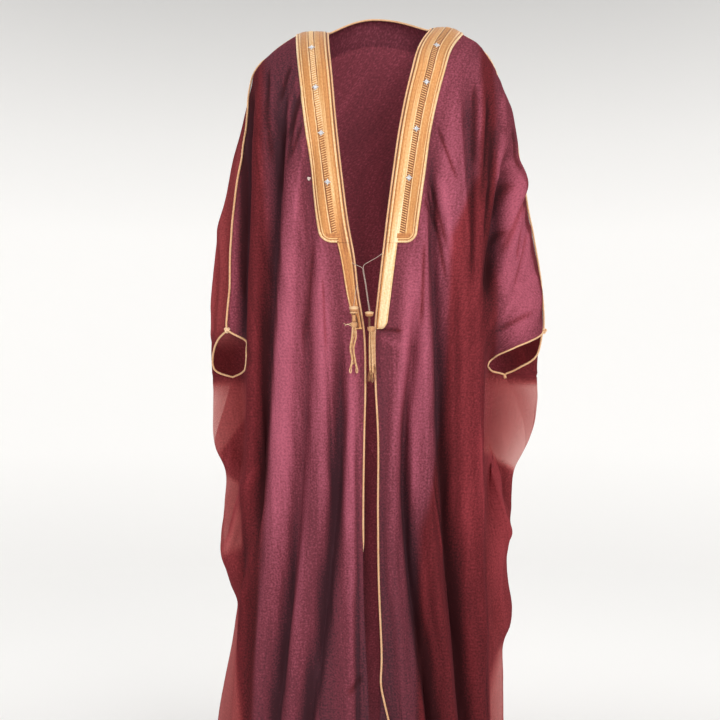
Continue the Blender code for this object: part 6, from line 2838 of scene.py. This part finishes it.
@dataclass
class NeckBand:
    """The embroidered band round the back of the neck."""

    half_share: float = 8 / 12 * SIDE_SHARE
    rows_end: float = 0.038
    rows: int = 60
    columns: int = 150

    def build(self) -> Piece:
        """Make the band.

        Returns:
            The band, dressed.
        """
        shares = np.linspace(0, self.half_share, self.columns)
        rows = self.rows_end * np.linspace(0.004, 1, self.rows) ** 1.7
        base = back_surface(shares, rows).points
        across = lengths(base)
        across = across / across[-1:] * full_width(NECK_STRIPES)
        along = lengths(base[self.rows // 2])[None, :] + 0 * across
        names = [stripe.name for stripe in NECK_STRIPES]
        start = full_width(NECK_STRIPES[: names.index("ladder")])
        end = start + NECK_STRIPES[names.index("ladder")].width
        braid = laddered(across - start, along, 0.0 * along, 0.0)
        chosen = (across >= start) & (across < end)
        height, tone = worked(chosen, braid, striped(NECK_STRIPES, across, 0.0))
        layers = {"tone": tone, "stitch_place": np.stack([across, along, 0 * along], axis=-1)}
        return raised_work("band_neck", base, True, height, layers)


# ---- piping ----------------------------------------------------------------------------------
def beside(edge: Array, inner: Array, normals: Array) -> Array:
    """Centre line of a cord that lies against an edge of the cloth.

    Args:
        edge: Points of the edge.
        inner: Points of the cloth a little inside it.
        normals: Outward normals at the edge.

    Returns:
        Points of the line.
    """
    along = np.gradient(edge, axis=0)
    way = np.cross(along, normals)
    way = way * np.sign(np.sum(way * (edge - inner), axis=-1, keepdims=True))
    return edge + unit(way) * PIPING


@dataclass
class Piping:
    """The gold cords: down the fronts, over the arms, round the hand openings and the neck."""

    cloth: Cloth
    tone: float = 0.56
    over_cloth: float = 0.0026
    on_shoulder: float = 0.0006
    behind: float = 0.0024
    seam_step: float = 0.003
    hand_step: float = 0.0025
    past_shoulder: int = 4
    neck_share: float = 6 / 8 * 0.985

    def cord(self, name: str, path: Array, passes: int) -> None:
        """Make one twisted cord.

        Args:
            name: Its name.
            path: Its centre line.
            passes: How often the line's corners are eased.
        """
        bag = MeshBag()
        PIPING_TWIST.lay(bag, eased(path, passes), PIPING, self.tone)
        dress(bag.obj(name), "cord", "gold_cord", name)

    def side(self, side: Side) -> None:
        """Make one side's cords and the knot at its hand opening.

        Args:
            side: The wearer's side.
        """
        rows, word = fine_rows(), side.word
        front, back = self.cloth.front_points(side)[0], self.cloth.back_points()[0]
        front_out, back_out = grid_normals(front, side.flip), grid_normals(back, True)
        if side is Side.LEFT:
            back, back_out = back[:, ::-1], back_out[:, ::-1]
        first, last = (int(np.argmin(abs(rows - row))) for row in OPENING_ROWS)
        edge = beside(front[:, 0], front[:, 1], front_out[:, 0])
        self.cord(f"piping_front_{word}", edge[1:], 6)
        band_side = 3 * ARM_SHARE / FRONT_GAPS
        begin = TURN_COLUMNS + int(np.argmin(abs(front_shares() - band_side)))
        up = unit(front_out[:, -1] + back_out[:, 0])
        over_out = unit(front_out[0, begin:-3] * np.array([1, 0, 1]))
        over = front[0, begin:-3] + over_out * self.on_shoulder + np.array([0, self.behind, 0])
        arm = slice(self.past_shoulder, first + 1)
        down = front[arm, -1] + up[arm] * self.over_cloth
        seam = resampled(np.concatenate([over, down]), self.seam_step)
        self.cord(f"piping_seam_{word}", seam, 7)
        rim = slice(first, last + 1)
        fore = beside(front[:, -1], front[:, -2], front_out[:, -1])[rim]
        rear = beside(back[:, 0], back[:, 1], back_out[:, 0])[rim]
        for name, path in (("front", fore), ("back", rear)):
            path[0], path[-1] = seam[-1], 0.5 * (fore[-1] + rear[-1])
            self.cord(f"piping_hand_{name}_{word}", resampled(path, self.hand_step), 5)
        bag = MeshBag()
        tied_knot(bag, seam[-1] + up[first] * 0.001, 0.0050, 0.0016, 0.78)
        dress(bag.obj(f"corner_knot_{word}"), "cord", "gold_cord")

    def neck(self) -> None:
        """Make the cord on the back's neck edge."""
        shares = np.linspace(0, NeckBand().half_share * self.neck_share, 60)
        points = back_surface(shares, np.array([0.0, 0.001, 0.002])).points
        normals = grid_normals(points, True)
        path = beside(points[0], points[2], normals[0]) + normals[0] * WALL / 2
        self.cord("piping_neck", path, 4)

    def build(self) -> None:
        """Make all the cords, and the loose thread's knot at the right band's edge."""
        for side in Side:
            self.side(side)
        self.neck()
        bag = MeshBag()
        point, normal, way, _ = FrontBands(Side.RIGHT).on_band(BAND_WIDE, 0.372, 0.0)
        tied_knot(bag, point + normal * 0.001 + way * 0.002, 0.0030, 0.0010, 0.9)
        dress(bag.obj("thread_knot"), "thread", "tie_thread")


def main() -> None:
    """Build the cloak, piece by piece, and the studio round it."""
    logging.basicConfig(level=logging.INFO, format="%(name)s %(message)s")
    FINISHES["cloth"] = ClothFinish().material()
    FINISHES.update({name: thread.material() for name, thread in THREADS.items()})
    Viewpoint().build()
    Ties().build()
    cloth = Cloth()
    fronts = {side: cloth.front(side) for side in Side}
    back = cloth.back()
    bands = {side: FrontBands(side).build() for side in Side}
    neck = NeckBand().build()
    Piping(cloth).build()
    for side, front in fronts.items():
        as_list(bands[side])
    Studio().build()


if __name__ == "__main__":
    main()
